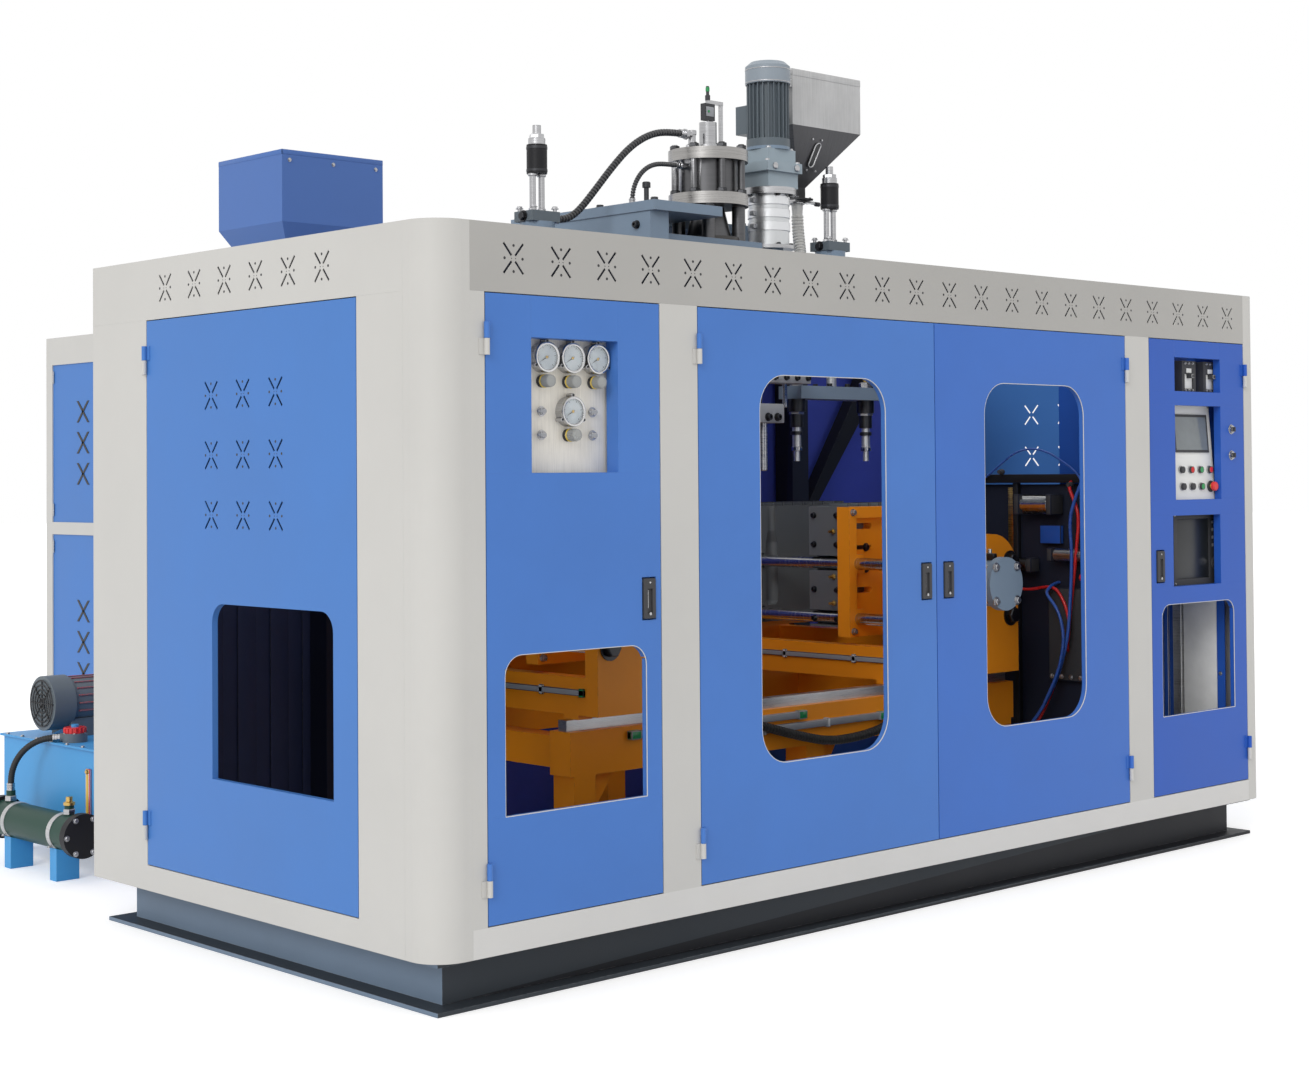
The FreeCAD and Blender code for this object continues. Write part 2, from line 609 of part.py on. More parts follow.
def control_cabinet():
    x0, x1 = 3385.0, 3995.0
    y = CONTROL_SETBACK
    front = box(x0, x1, y, y + 4, 985, 1900)
    walls = [box(x, x + 4, y, CABINET_BACK, 250, 1900) for x in (x0, x1 - 4)]
    back = box(x0, x1, CABINET_BACK, CABINET_BACK + 4, 250, 1900)
    floors = [box(x0, x1, y, CABINET_BACK, z, z + 4) for z in (250, 985, 1896)]
    post = box(3690, 3730, 300, 340, 254, 985)
    arms = []
    for z in (1000, 1860):
        arms += [box(3300, x0, y, y + 30, z, z + 30), box(x1, 4070, y, y + 30, z, z + 30),
                 box(3300, 3340, FRAME_THICK, y, z, z + 30), box(4040, 4070, FRAME_THICK, y, z, z + 30)]
    feet = [box(x, x + FOOT_WIDTH, 340, 400, BASE_HEIGHT, 250) for x in FOOT_PLACES]
    keep("control_cabinet", weld(front, walls, back, floors, post, arms, feet))


def control_devices():
    y = CONTROL_SETBACK
    units = []
    for x in (3648.0, 3798.0):
        case = box(x, x + 95, y - 40, y, 1757, 1875)
        face = box(x + 18, x + 77, y - 40, y - 34, 1767, 1825)
        lever = box(x + 38, x + 57, y - 58, y - 34, 1808, 1824)
        units.append(weld(case.cut(face), lever))
    unit = box(3600, 3925, y - 25, y, 1005, 1285)
    screen = box(3622, 3850, y - 25, y - 19, 1030, 1262)
    units.append(unit.cut(screen).cut(rod(DIAL_X, y - 26, DIAL_Z, DIAL_SHAFT + RUNNING_FIT, 20, BACK)))
    keep("control_devices", *units)


DIAL_X = 3885.0
DIAL_Z = 1085.0
DIAL_SHAFT = 6.0


def screen_dial():
    y = CONTROL_SETBACK - 25
    knob = rod(DIAL_X, y - 22, DIAL_Z, 20, 21.5, BACK)
    knob = knob.makeChamfer(2, [e for e in knob.Edges if e.BoundBox.YMax < y - 21.9])
    keep("screen_dial", weld(knob, rod(DIAL_X, y - 2, DIAL_Z, DIAL_SHAFT, 18, BACK)))


OPERATOR_X0 = 3580.0
OPERATOR_X1 = 3872.0
OPERATOR_Z0 = 1325.0
OPERATOR_Z1 = 1708.0
OPERATOR_TOP_Y = 62.0
OPERATOR_LOW_Y = 32.0


def slope_y(z):
    share = (z - OPERATOR_Z0) / (OPERATOR_Z1 - OPERATOR_Z0)
    return OPERATOR_LOW_Y + share * (OPERATOR_TOP_Y - OPERATOR_LOW_Y)


def operator_panel():
    y = CONTROL_SETBACK
    side = [(OPERATOR_X0, y, OPERATOR_Z0), (OPERATOR_X0, OPERATOR_LOW_Y, OPERATOR_Z0),
            (OPERATOR_X0, OPERATOR_TOP_Y, OPERATOR_Z1), (OPERATOR_X0, y, OPERATOR_Z1)]
    wedge = polygon(side, vec(OPERATOR_X1 - OPERATOR_X0, 0, 0))
    stop = rod(STOP_X, slope_y(STOP_Z) - 10, STOP_Z, STOP_STEM + RUNNING_FIT, 50, BACK)
    keep("operator_panel", wedge.cut(stop))
    bezel = [(3606, slope_y(1520) - 5, 1520), (3606, slope_y(1668) - 5, 1668),
             (3606, slope_y(1668), 1668), (3606, slope_y(1520), 1520)]
    buttons = [polygon(bezel, vec(238, 0, 0))]
    for i, x in enumerate((3640, 3705, 3770, STOP_X)):
        for z in (1453, 1388):
            if (i, z) != (3, 1388):
                buttons.append(rod(x, slope_y(z) - 14, z, 13, 14 + 2, BACK))
    whole = wedge.cut(stop)
    keep("panel_buttons", *[b.cut(whole) for b in buttons])


STOP_X = 3836.0
STOP_Z = 1388.0
STOP_STEM = 9.0
STOP_TRAVEL = 6.0


def emergency_stop():
    y = slope_y(STOP_Z)
    head = rod(STOP_X, y - 30, STOP_Z, 18, 14, BACK)
    head = head.makeChamfer(4, [e for e in head.Edges if e.BoundBox.YMax < y - 29.9])
    keep("emergency_stop", weld(head, rod(STOP_X, y - 18, STOP_Z, STOP_STEM, 36, BACK)))


# ---- machine frame, bed and head beams ----------------------------------------------------------
FRAME_REAR_Y = DEPTH - FRAME_THICK - 20 - COLUMN


def machine_frame():
    parts = []
    floor = BASE_HEIGHT
    for x in (FRAME_LEFT, FRAME_RIGHT - COLUMN):
        for y in (FRAME_FRONT_Y, FRAME_REAR_Y):
            parts.append(box(x, x + COLUMN, y, y + COLUMN, floor, FRAME_TOP - BEAM_HEIGHT))
        parts.append(box(x, x + COLUMN, FRAME_FRONT_Y, FRAME_REAR_Y + COLUMN,
                         FRAME_TOP - BEAM_HEIGHT, FRAME_TOP))
    low = FRAME_TOP - BEAM_HEIGHT
    parts.append(box(FRAME_LEFT, FRAME_RIGHT, FRAME_FRONT_Y, FRAME_FRONT_Y + BEAM_DEPTH, low, FRAME_TOP))
    parts.append(box(FRAME_LEFT - BRACE_REACH, FRAME_RIGHT + BRACE_REACH, FRAME_REAR_Y,
                     FRAME_REAR_Y + COLUMN, low, FRAME_TOP))
    for x, way in ((FRAME_LEFT, -1), (FRAME_RIGHT, 1)):
        foot, head = x - way * COLUMN, x + way * BRACE_REACH
        corners = [(foot, FRAME_REAR_Y + 20, BRACE_FOOT - 140), (x, FRAME_REAR_Y + 20, BRACE_FOOT - 60),
                   (head, FRAME_REAR_Y + 20, low), (head - way * 150, FRAME_REAR_Y + 20, low)]
        parts.append(polygon(corners, vec(0, COLUMN - 40, 0)))
    keep("machine_frame", weld(parts))


def slide_bed():
    half = BED_BEAM / 2
    left, right = FRAME_LEFT + COLUMN + 15, FRAME_RIGHT - COLUMN - 15
    parts = []
    legs = (LEFT_CROSS + 65, LENGTH / 2, RIGHT_CROSS - 65)
    for y in (BED_FRONT_Y, BED_REAR_Y):
        parts.append(box(left, right, y - half, y + half, BED_TOP - 140, BED_TOP))
        for x in legs:
            parts.append(box(x - 45, x + 45, y - half, y + half, BASE_HEIGHT, BED_TOP - 140))
            gusset = [(x + 45, y - 8, BED_TOP - 140), (x + 165, y - 8, BED_TOP - 140),
                      (x + 45, y - 8, BED_TOP - 300)]
            if x < RIGHT_CROSS - 100:
                parts.append(polygon(gusset, vec(0, 16, 0)))
    for x in legs:
        parts.append(box(x - 40, x + 40, BED_FRONT_Y + half, BED_REAR_Y - half, BED_TOP - 120, BED_TOP - 20))
    bed = weld(parts)
    rails = [box(left + 10, right - 10, y - RAIL_WIDTH / 2, y + RAIL_WIDTH / 2, BED_TOP,
                 BED_TOP + RAIL_HEIGHT) for y in (BED_FRONT_Y, BED_REAR_Y)]
    keep("slide_bed", bed, *rails)


def head_beams():
    """Two beams over the frame, the stepped top plate and the lower plate that carries the head."""
    half = HEAD_BEAM_WIDTH / 2
    rear = FRAME_REAR_Y + COLUMN
    left = box(HEAD_BEAM_LEFT - half, HEAD_BEAM_LEFT + half, FRAME_FRONT_Y, rear, FRAME_TOP, HEAD_BEAM_TOP)
    right = box(HEAD_BEAM_RIGHT - half, HEAD_BEAM_RIGHT + half, HEAD_STEP_Y, rear, FRAME_TOP, HEAD_BEAM_TOP)
    x0, x1, y0, y1 = 1670, 2537, HEAD_PLATE_FRONT, 1700
    step = HEAD_STEP_X
    outline = [(x0, y0), (step, y0), (step, HEAD_STEP_Y), (x1, HEAD_STEP_Y), (x1, y1), (x0, y1)]
    top = polygon([(x, y, HEAD_BEAM_TOP) for x, y in outline], vec(0, 0, HEAD_PLATE_THICK))
    x0, x1, y0, y1 = HEAD_BEAM_LEFT + half, HEAD_BEAM_RIGHT - half, MOULD_MIDDLE_Y - 118, 1310
    outline = [(x0, y0), (2300, y0), (2300, HEAD_STEP_Y), (x1, HEAD_STEP_Y), (x1, y1), (x0, y1)]
    low = polygon([(x, y, HEAD_SEAT - SEAT_THICK) for x, y in outline], vec(0, 0, SEAT_THICK))
    low = low.cut(rod(HEAD_X, MOULD_MIDDLE_Y, HEAD_SEAT - SEAT_THICK - 1, DIE_RADIUS + CLEAR, SEAT_THICK + 2))
    foot = box(HEAD_BEAM_RIGHT - half, HEAD_BEAM_RIGHT + half, HEAD_STEP_Y, HEAD_STEP_Y + 60, FRAME_TOP - 110,
               FRAME_TOP)
    keep("head_beams", weld(left, right, top, low, foot))


# ---- stations -------------------------------------------------------------------------------
def carriage(name, x):
    low, high = CARRIAGE_BOTTOM, CARRIAGE_BOTTOM + CARRIAGE_HEIGHT
    y0, y1 = CROSSHEAD_FRONT_Y, CROSSHEAD_REAR_Y + CROSSHEAD_THICK
    parts = []
    for edge in (x - STATION_HALF, x + STATION_HALF - CARRIAGE_BEAM):
        parts.append(box(edge, edge + CARRIAGE_BEAM, y0, y1, low, high))
        for y in (BED_FRONT_Y, BED_REAR_Y):
            parts.append(box(edge, edge + CARRIAGE_BEAM, y - 35, y + 35,
                             BED_TOP + RAIL_HEIGHT + CLEAR, low))
    for y in (y0, y1 - CROSSHEAD_THICK):
        outline = rounded(x - STATION_HALF, x + STATION_HALF, low, CROSSHEAD_TOP, 0, CROSSHEAD_RADIUS)
        head = plate(outline, [], CROSSHEAD_THICK)
        head.translate(vec(0, y, 0))
        parts.append(head)
    barrel = rod(x, y0 - 160, CLAMP_Z, 85, 160, BACK)
    cap = rod(x, y0 - 190, CLAMP_Z, 98, 30, BACK)
    body = weld(parts, barrel, cap)
    bore = rod(x, y0 - 170, CLAMP_Z, CLAMP_ROD + RUNNING_FIT, 170 + CROSSHEAD_THICK + 1, BACK)
    keep(name, body.cut(bore))


CLAMP_Z = 1040.0
CLAMP_ROD = 35.0


def tie_bars(name, x):
    start = CROSSHEAD_FRONT_Y + CROSSHEAD_THICK
    length = CROSSHEAD_REAR_Y - start
    bars = [rod(x + side * TIE_BAR_SIDE, start, z, TIE_BAR_RADIUS, length, BACK)
            for side in (-1, 1) for z in (TIE_BAR_LOW, TIE_BAR_HIGH)]
    keep(name, *bars)


def platen(name, x, front):
    """A slotted platen drawn with its pocketed face to the front, mirrored for the rear one."""
    face = MOULD_MIDDLE_Y - MOULD_OPEN - MOULD_THICK - PLATEN_THICK
    x0, x1 = x - STATION_HALF, x + STATION_HALF
    holes = []
    for column in (x - 215, x + 215):
        for z in (1250, 1010):
            holes.append(rounded(column - 45, column + 45, z - 11, z + 11, 10, 10))
        for z in (1170, 1090):
            holes.append(rounded(column - 45, column + 45, z - 8, z + 8, 7, 7))
    slab = plate(rounded(x0, x1, PLATEN_BOTTOM, PLATEN_TOP), holes, PLATEN_THICK)
    pocket = rounded(x0 + PLATEN_RIM, x1 - PLATEN_RIM, PLATEN_BOTTOM + PLATEN_RIM, PLATEN_TOP - PLATEN_RIM)
    slab = slab.cut(plate(pocket, [], PLATEN_POCKET))
    for side in (-1, 1):
        bar = x + side * TIE_BAR_SIDE
        for z in (TIE_BAR_LOW, TIE_BAR_HIGH):
            boss = box(min(bar - 35, bar + 35), bar + 35, 0, PLATEN_THICK, z - 35, z + 35)
            slab = weld(slab, boss.common(box(x0, x1, 0, PLATEN_THICK, PLATEN_BOTTOM, PLATEN_TOP)))
            slab = slab.cut(rod(bar, -1, z, TIE_BAR_RADIUS + RUNNING_FIT, PLATEN_THICK + 2, BACK))
    slab.translate(vec(0, face, 0))
    if front:
        pad = rod(x, face + PLATEN_POCKET - 20, CLAMP_Z, CLAMP_ROD + 30, 21, BACK)
        slab = weld(slab, pad, rod(x, 300, CLAMP_Z, CLAMP_ROD, face + PLATEN_POCKET - 300, BACK))
    else:
        slab = slab.mirror(vec(0, MOULD_MIDDLE_Y, 0), BACK)
    keep(name, slab)


def bottle_cavity(x, y):
    """Half a bottle in profile, turned about the blow pin's axis."""
    profile = [(0, BOTTLE_BOTTOM), (BOTTLE_RADIUS - 12, BOTTLE_BOTTOM), (BOTTLE_RADIUS, BOTTLE_BOTTOM + 14),
               (BOTTLE_RADIUS, BOTTLE_SHOULDER), (BOTTLE_NECK, BOTTLE_SHOULDER + 45),
               (BOTTLE_NECK, PLATEN_TOP + 1), (0, PLATEN_TOP + 1)]
    corners = [vec(x + r, y, z) for r, z in profile]
    return Part.Face(Part.makePolygon(corners + corners[:1])).revolve(vec(x, y, 0), UP, 360)


def mould_half(name, x, front):
    closing = MOULD_MIDDLE_Y - MOULD_OPEN
    low = closing - MOULD_THICK
    block = box(x - MOULD_HALF_WIDTH, x + MOULD_HALF_WIDTH, low, closing, MOULD_BOTTOM, PLATEN_TOP)
    for side in (-1, 1):
        for z in (TIE_BAR_LOW, TIE_BAR_HIGH):
            bar = x + side * TIE_BAR_SIDE
            block = block.cut(box(min(bar, bar + side * 40) - 26, max(bar, bar + side * 40) + 26,
                                  low - 1, closing + 1, z - 28, z + 28))
        block = block.cut(bottle_cavity(x + side * PIN_SPREAD / 2, closing))
    for z in (960, 1060, 1230):
        block = block.cut(rod(x - MOULD_HALF_WIDTH, low + 45, z, 9, 30, RIGHT))
    keep(name, block if front else block.mirror(vec(0, MOULD_MIDDLE_Y, 0), BACK))


# ---- blow pins --------------------------------------------------------------------------------
def blow_pins(name, x):
    y = MOULD_MIDDLE_Y
    top = PIN_CARRIER_Z + PIN_CARRIER_HEIGHT
    reach = PIN_CARRIER_REACH
    parts = [box(x - reach, x + reach, y - 60, y + 60, PIN_CARRIER_Z, top),
             rod(x, y, top, PIN_ROD_RADIUS, CYLINDER_FOOT_TOP - CYLINDER_FOOT - top - 20)]
    for side in (-1, 1):
        px = x + side * PIN_SPREAD / 2
        parts += [rod(px, y, PIN_TIP_Z, PIN_RADIUS - 5, 40), rod(px, y, PIN_TIP_Z + 40, PIN_RADIUS, 200),
                  rod(px, y, PIN_CARRIER_Z - 110, PIN_RADIUS + 9, 60),
                  rod(px, y, PIN_CARRIER_Z - 50, PIN_RADIUS + 18, 50)]
    keep(name, weld(parts))


def pin_cylinders():
    y = MOULD_MIDDLE_Y
    solids = []
    for x in (LEFT_STATION_X, RIGHT_STATION_X):
        plate_low = FRAME_TOP
        bridge = box(x - 90, x + 90, FRAME_FRONT_Y, FRAME_REAR_Y + COLUMN, plate_low, plate_low + CYLINDER_PLATE)
        foot_low = CYLINDER_FOOT_TOP - CYLINDER_FOOT
        barrel = rod(x, y, CYLINDER_BOTTOM, CYLINDER_RADIUS, foot_low - CYLINDER_BOTTOM)
        foot = box(x - 62, x + 62, y - 50, y + 50, foot_low, CYLINDER_FOOT_TOP)
        body = weld(bridge, barrel, foot)
        bore = rod(x, y, CYLINDER_BOTTOM - 1, PIN_ROD_RADIUS + RUNNING_FIT, foot_low - CYLINDER_BOTTOM - 8)
        body = body.cut(bore)
        z = CYLINDER_FOOT_TOP
        posts = [rod(x + s * POST_SPREAD, y, z, POST_RADIUS, POST_TOP - z) for s in (-1, 1)]
        collar = rod(x, y, POST_TOP, COLLAR_RADIUS, COLLAR_TOP - POST_TOP)
        nut = rod(x, y, COLLAR_TOP, COLLAR_RADIUS - 6, 22)
        stud = rod(x, y, COLLAR_TOP + 22, 15, 46)
        bolts = [rod(x + a * 48, y + b * 38, z, 7, 16) for a in (-1, 1) for b in (-1, 1)]
        solids.append(weld(body, posts, collar, nut, stud, bolts))
    keep("pin_cylinders", *solids)


# ---- die head and colour extruder ----------------------------------------------------------------
def die_head():
    x, y = HEAD_X, MOULD_MIDDLE_Y
    collar = DIE_RADIUS + 5
    upper = SPACER_TOP + FLANGE_THICK
    profile = [(0, DIE_BOTTOM), (42, DIE_BOTTOM), (60, DIE_BOTTOM + 60), (DIE_RADIUS, DIE_BOTTOM + 130),
               (DIE_RADIUS, HEAD_SEAT), (collar, HEAD_SEAT), (collar, HEAD_SEAT + 14), (86, HEAD_SEAT + 14),
               (58, SPACER_TOP), (FLANGE_RADIUS, SPACER_TOP), (FLANGE_RADIUS, upper),
               (DIE_RADIUS + 2, upper), (DIE_RADIUS + 2, FLANGE_TOP - FLANGE_THICK),
               (FLANGE_RADIUS, FLANGE_TOP - FLANGE_THICK), (FLANGE_RADIUS, FLANGE_TOP), (0, FLANGE_TOP)]
    corners = [vec(x + r, y, z) for r, z in profile]
    head = Part.Face(Part.makePolygon(corners + corners[:1])).revolve(vec(x, y, 0), UP, 360)
    parts = [head, rod(x, y, FLANGE_TOP, STEM_RADIUS, STEM_TOP - FLANGE_TOP)]
    for i in range(4):
        turn = math.radians(45 + 90 * i)
        px, py = x + 112 * math.cos(turn), y + 112 * math.sin(turn)
        parts.append(rod(px, py, HEAD_SEAT, HEAD_POST_RADIUS, SPACER_TOP - HEAD_SEAT))
    for i in range(8):
        turn = math.radians(22.5 + 45 * i)
        px, py = x + (FLANGE_RADIUS - 16) * math.cos(turn), y + (FLANGE_RADIUS - 16) * math.sin(turn)
        parts.append(rod(px, py, upper, 13, FLANGE_TOP - FLANGE_THICK - upper))
        parts.append(rod(px, py, FLANGE_TOP, 11, 18))
    parts += [rod(x - 84, y, FLANGE_TOP, HEAD_HOSE_RADIUS + 1, OIL_PORT_Z - FLANGE_TOP + HEAD_HOSE_RADIUS + 1),
              rod(OIL_PORT_X, y, OIL_PORT_Z, HEAD_HOSE_RADIUS + 1, x - 84 - OIL_PORT_X, RIGHT),
              rod(SIDE_PORT_X, y, SIDE_PORT_Z, 12, x - DIE_RADIUS + 10 - SIDE_PORT_X, RIGHT)]
    inlet = rod(x, y + DIE_RADIUS - 20, BARREL_Z, BARREL_RADIUS, BARREL_FRONT - y - DIE_RADIUS + 20, BACK)
    keep("die_head", weld(parts, inlet))


BARREL_FRONT = 1290.0
OIL_PORT_X = 2012.0
OIL_PORT_Z = 2712.0
SIDE_PORT_X = 1992.0
SIDE_PORT_Z = 2592.0


def position_sensor():
    x, y = HEAD_X, MOULD_MIDDLE_Y
    post = box(x + 62, x + 74, y - 6, y + 6, FLANGE_TOP, 2850)
    arm = box(x - 4, x + 74, y - 8, y + 8, 2838, 2852)
    body = box(x - 26, x + 26, y - 12, y + 12, 2775, 2838)
    tip = rod(x, y, 2852, 6, 53)
    probe = rod(x, y, STEM_TOP, 6, 8)
    keep("position_sensor", weld(post, arm, body, tip, probe))


def colour_extruder():
    x, y = COLOUR_X, MOULD_MIDDLE_Y
    r = COLOUR_BARREL_RADIUS
    neck = r - 24
    low = COLOUR_FLANGE_Z
    profile = [(0, COLOUR_BOTTOM), (neck, COLOUR_BOTTOM), (neck, low), (r + 22, low),
               (r + 22, low + 14), (r, low + 14), (r, GEAR_BOTTOM - 26), (r + 26, GEAR_BOTTOM - 26),
               (r + 26, GEAR_BOTTOM), (0, GEAR_BOTTOM)]
    corners = [vec(x + a, y, z) for a, z in profile]
    barrel = Part.Face(Part.makePolygon(corners + corners[:1])).revolve(vec(x, y, 0), UP, 360)
    middle = (GEAR_BOTTOM + GEAR_TOP) / 2
    case = [box(x - 82, x + 82, y - 78, y + 78, GEAR_BOTTOM, middle + 8),
            box(x - 100, x + 92, y - 92, y + 88, middle - 22, middle + 16),
            box(x - 76, x + 76, y - 72, y + 72, middle + 16, GEAR_TOP - 12),
            rod(x, y, GEAR_TOP - 12, MOTOR_RADIUS, 12)]
    bosses = [rod(x + 60 * s, y - 92, middle - 3, 12, 14, BACK) for s in (-1, 1)]
    bracket = box(x - 20, x + 55, y + 60, HEAD_STEP_Y, low, low + 14)
    arm = box(x + 60, x + 90, y + 60, y + 110, GEAR_BOTTOM, GEAR_BOTTOM + 30)
    melt = rod(HEAD_X, y, FEED_PORT_Z, MELT_RADIUS, x - HEAD_X, RIGHT)
    melt = melt.cut(rod(HEAD_X, y, FEED_PORT_Z - 100, DIE_RADIUS + CLEAR, 200))
    port = rod(x + neck - 10, y, FEED_PORT_Z, RIB_RADIUS + 3, FEED_PORT_X - x - neck + 10, RIGHT)
    keep("colour_extruder", weld(barrel, case, bosses, bracket, arm, melt, port))


def colour_motor():
    x, y = COLOUR_X, MOULD_MIDDLE_Y
    cowl_low = MOTOR_TOP - 90
    core = rod(x, y, GEAR_TOP, MOTOR_RADIUS - 16, cowl_low - GEAR_TOP)
    bell = rod(x, y, GEAR_TOP, MOTOR_RADIUS, 30)
    profile = [(0, cowl_low), (MOTOR_RADIUS + 3, cowl_low), (MOTOR_RADIUS + 3, MOTOR_TOP - 22),
               (MOTOR_RADIUS - 16, MOTOR_TOP - 5), (0, MOTOR_TOP)]
    corners = [vec(x + a, y, z) for a, z in profile]
    cowl = Part.Face(Part.makePolygon(corners + corners[:1])).revolve(vec(x, y, 0), UP, 360)
    fins = []
    for i in range(24):
        fin = box(x + MOTOR_RADIUS - 20, x + MOTOR_RADIUS - 2, y - 2, y + 2, GEAR_TOP + 30, cowl_low)
        fin.rotate(vec(x, y, 0), UP, i * 360 / 24)
        fins.append(fin)
    terminal = box(x - 45, x + 45, y + MOTOR_RADIUS - 20, y + MOTOR_RADIUS + 46, GEAR_TOP + 60, GEAR_TOP + 170)
    keep("colour_motor", weld(core, bell, cowl, fins, terminal))


def hopper_shell(x0, y0, length, depth, top, bend, outlet, neck, wall, shift):
    """A sheet hopper: upright sides over a pyramid, lofted inside and out."""
    cx, cy = x0 + length / 2, y0 + depth / 2

    def ring(half_x, half_y, z, move):
        mx = cx + move
        corners = [vec(mx - half_x, cy - half_y, z), vec(mx + half_x, cy - half_y, z),
                   vec(mx + half_x, cy + half_y, z), vec(mx - half_x, cy + half_y, z)]
        return Part.makePolygon(corners + corners[:1])

    def body(shrink, cover):
        mouth = ring(length / 2 - shrink, depth / 2 - shrink, bend, 0)
        sides = Part.Face(mouth).extrude(vec(0, 0, top - bend - cover))
        end = ring(neck / 2 - shrink, neck / 2 - shrink, outlet, shift)
        return sides.fuse(Part.makeLoft([mouth, end], True, True))

    return body(0, 0).cut(body(wall, wall))


def outlet_place():
    return (HOPPER_X + HOPPER_LENGTH / 2 + OUTLET_SHIFT, MOULD_MIDDLE_Y + HOPPER_DEPTH / 2)


def colour_hopper():
    shell = hopper_shell(HOPPER_X, MOULD_MIDDLE_Y, HOPPER_LENGTH, HOPPER_DEPTH, HOPPER_TOP, HOPPER_BEND,
                         HOPPER_OUTLET, HOPPER_NECK, HOPPER_WALL, OUTLET_SHIFT)
    cx, cy = outlet_place()
    half = HOPPER_NECK / 2
    low = HOPPER_OUTLET - HOPPER_SPOUT
    spout = box(cx - half, cx + half, cy - half, cy + half, low, HOPPER_OUTLET + 1)
    flange = box(cx - 45, cx + 45, cy - 45, cy + 45, low, low + 8)
    bore = half - HOPPER_WALL
    hole = box(cx - bore, cx + bore, cy - bore, cy + bore, low - 1, HOPPER_OUTLET + 2)
    stay = box(COLOUR_X + MOTOR_RADIUS + 3, HOPPER_X + 1, MOULD_MIDDLE_Y + 2, MOULD_MIDDLE_Y + 32, 2960, 2990)
    keep("colour_hopper", weld(shell, weld(spout, flange).cut(hole), stay))


def hopper_gate():
    cx, cy = outlet_place()
    top = HOPPER_OUTLET - HOPPER_SPOUT - CLEAR
    blade = box(cx - 44, cx + 70, cy - 30, cy + 30, top - GATE_THICK, top)
    grip = rod(cx + 70, cy, top - GATE_THICK / 2, 3.5, 40, RIGHT)
    ball = rod(cx + 108, cy, top - GATE_THICK / 2, 9, 20, RIGHT)
    keep("hopper_gate", weld(blade, grip, ball))


def gate_z():
    return HOPPER_OUTLET - HOPPER_SPOUT - 2 * CLEAR - GATE_THICK


# ---- main extruder ------------------------------------------------------------------------------
def main_extruder():
    x = HEAD_X
    y0 = BARREL_FRONT
    barrel = rod(x, y0, BARREL_Z, BARREL_RADIUS, CABINET_Y - y0 + 40, BACK)
    flange = rod(x, y0, BARREL_Z, BAND_RADIUS + 22, 40, BACK)
    bands = []
    count = int((CABINET_Y - y0 - 180) // BAND_PITCH)
    for i in range(count):
        bands.append(rod(x, y0 + 90 + i * BAND_PITCH, BARREL_Z, BAND_RADIUS, BAND_LENGTH, BACK))
    keep("main_extruder", weld(barrel, flange, bands))


def main_hopper():
    shell = hopper_shell(MAIN_HOPPER_X, MAIN_HOPPER_Y, MAIN_HOPPER_LENGTH, MAIN_HOPPER_DEPTH, MAIN_HOPPER_TOP,
                         MAIN_HOPPER_BEND, MAIN_HOPPER_OUTLET, 160, 4, 0)
    cx, cy = MAIN_HOPPER_X + MAIN_HOPPER_LENGTH / 2, MAIN_HOPPER_Y + MAIN_HOPPER_DEPTH / 2
    neck = box(cx - 80, cx + 80, cy - 80, cy + 80, CABINET_TOP, MAIN_HOPPER_OUTLET + 1)
    neck = neck.cut(box(cx - 76, cx + 76, cy - 76, cy + 76, CABINET_TOP + 8, MAIN_HOPPER_OUTLET + 2))
    foot = box(cx - 130, cx + 130, cy - 130, cy + 130, CABINET_TOP, CABINET_TOP + 12)
    keep("main_hopper", weld(shell, neck, foot))


def rear_cabinet():
    x0, x1 = CABINET_X, CABINET_X + CABINET_LENGTH
    y0, y1 = CABINET_Y, CABINET_Y + CABINET_DEPTH
    body = box(x0, x1, y0, y1, 0, CABINET_TOP)
    skin = CABINET_SKIN
    body = body.cut(box(x0 + skin, x1 - skin, y0 + skin, y1 - skin, skin, CABINET_TOP - skin))
    body = body.cut(rod(HEAD_X, y0 - 1, BARREL_Z, BARREL_RADIUS + 20, 70, BACK))
    parts = [body]
    for y in (y0 + 60, (y0 + y1) / 2 + 30):
        width = (y1 - y0) / 2 - 90
        for low, high in ((150, 1180), (1240, 2010)):
            recess = box(x0 - 1, x0 + 6, y, y + width, low, high)
            parts[0] = parts[0].cut(recess)
    feed = box(HEAD_X - 110, HEAD_X + 110, CABINET_Y + 40, CABINET_Y + 620, BARREL_Z - 110,
               CABINET_TOP - skin)
    stand = box(HEAD_X - 90, HEAD_X + 90, CABINET_Y + 120, CABINET_Y + 520, 0, BARREL_Z - 110)
    keep("rear_cabinet", weld(parts[0], feed, stand))


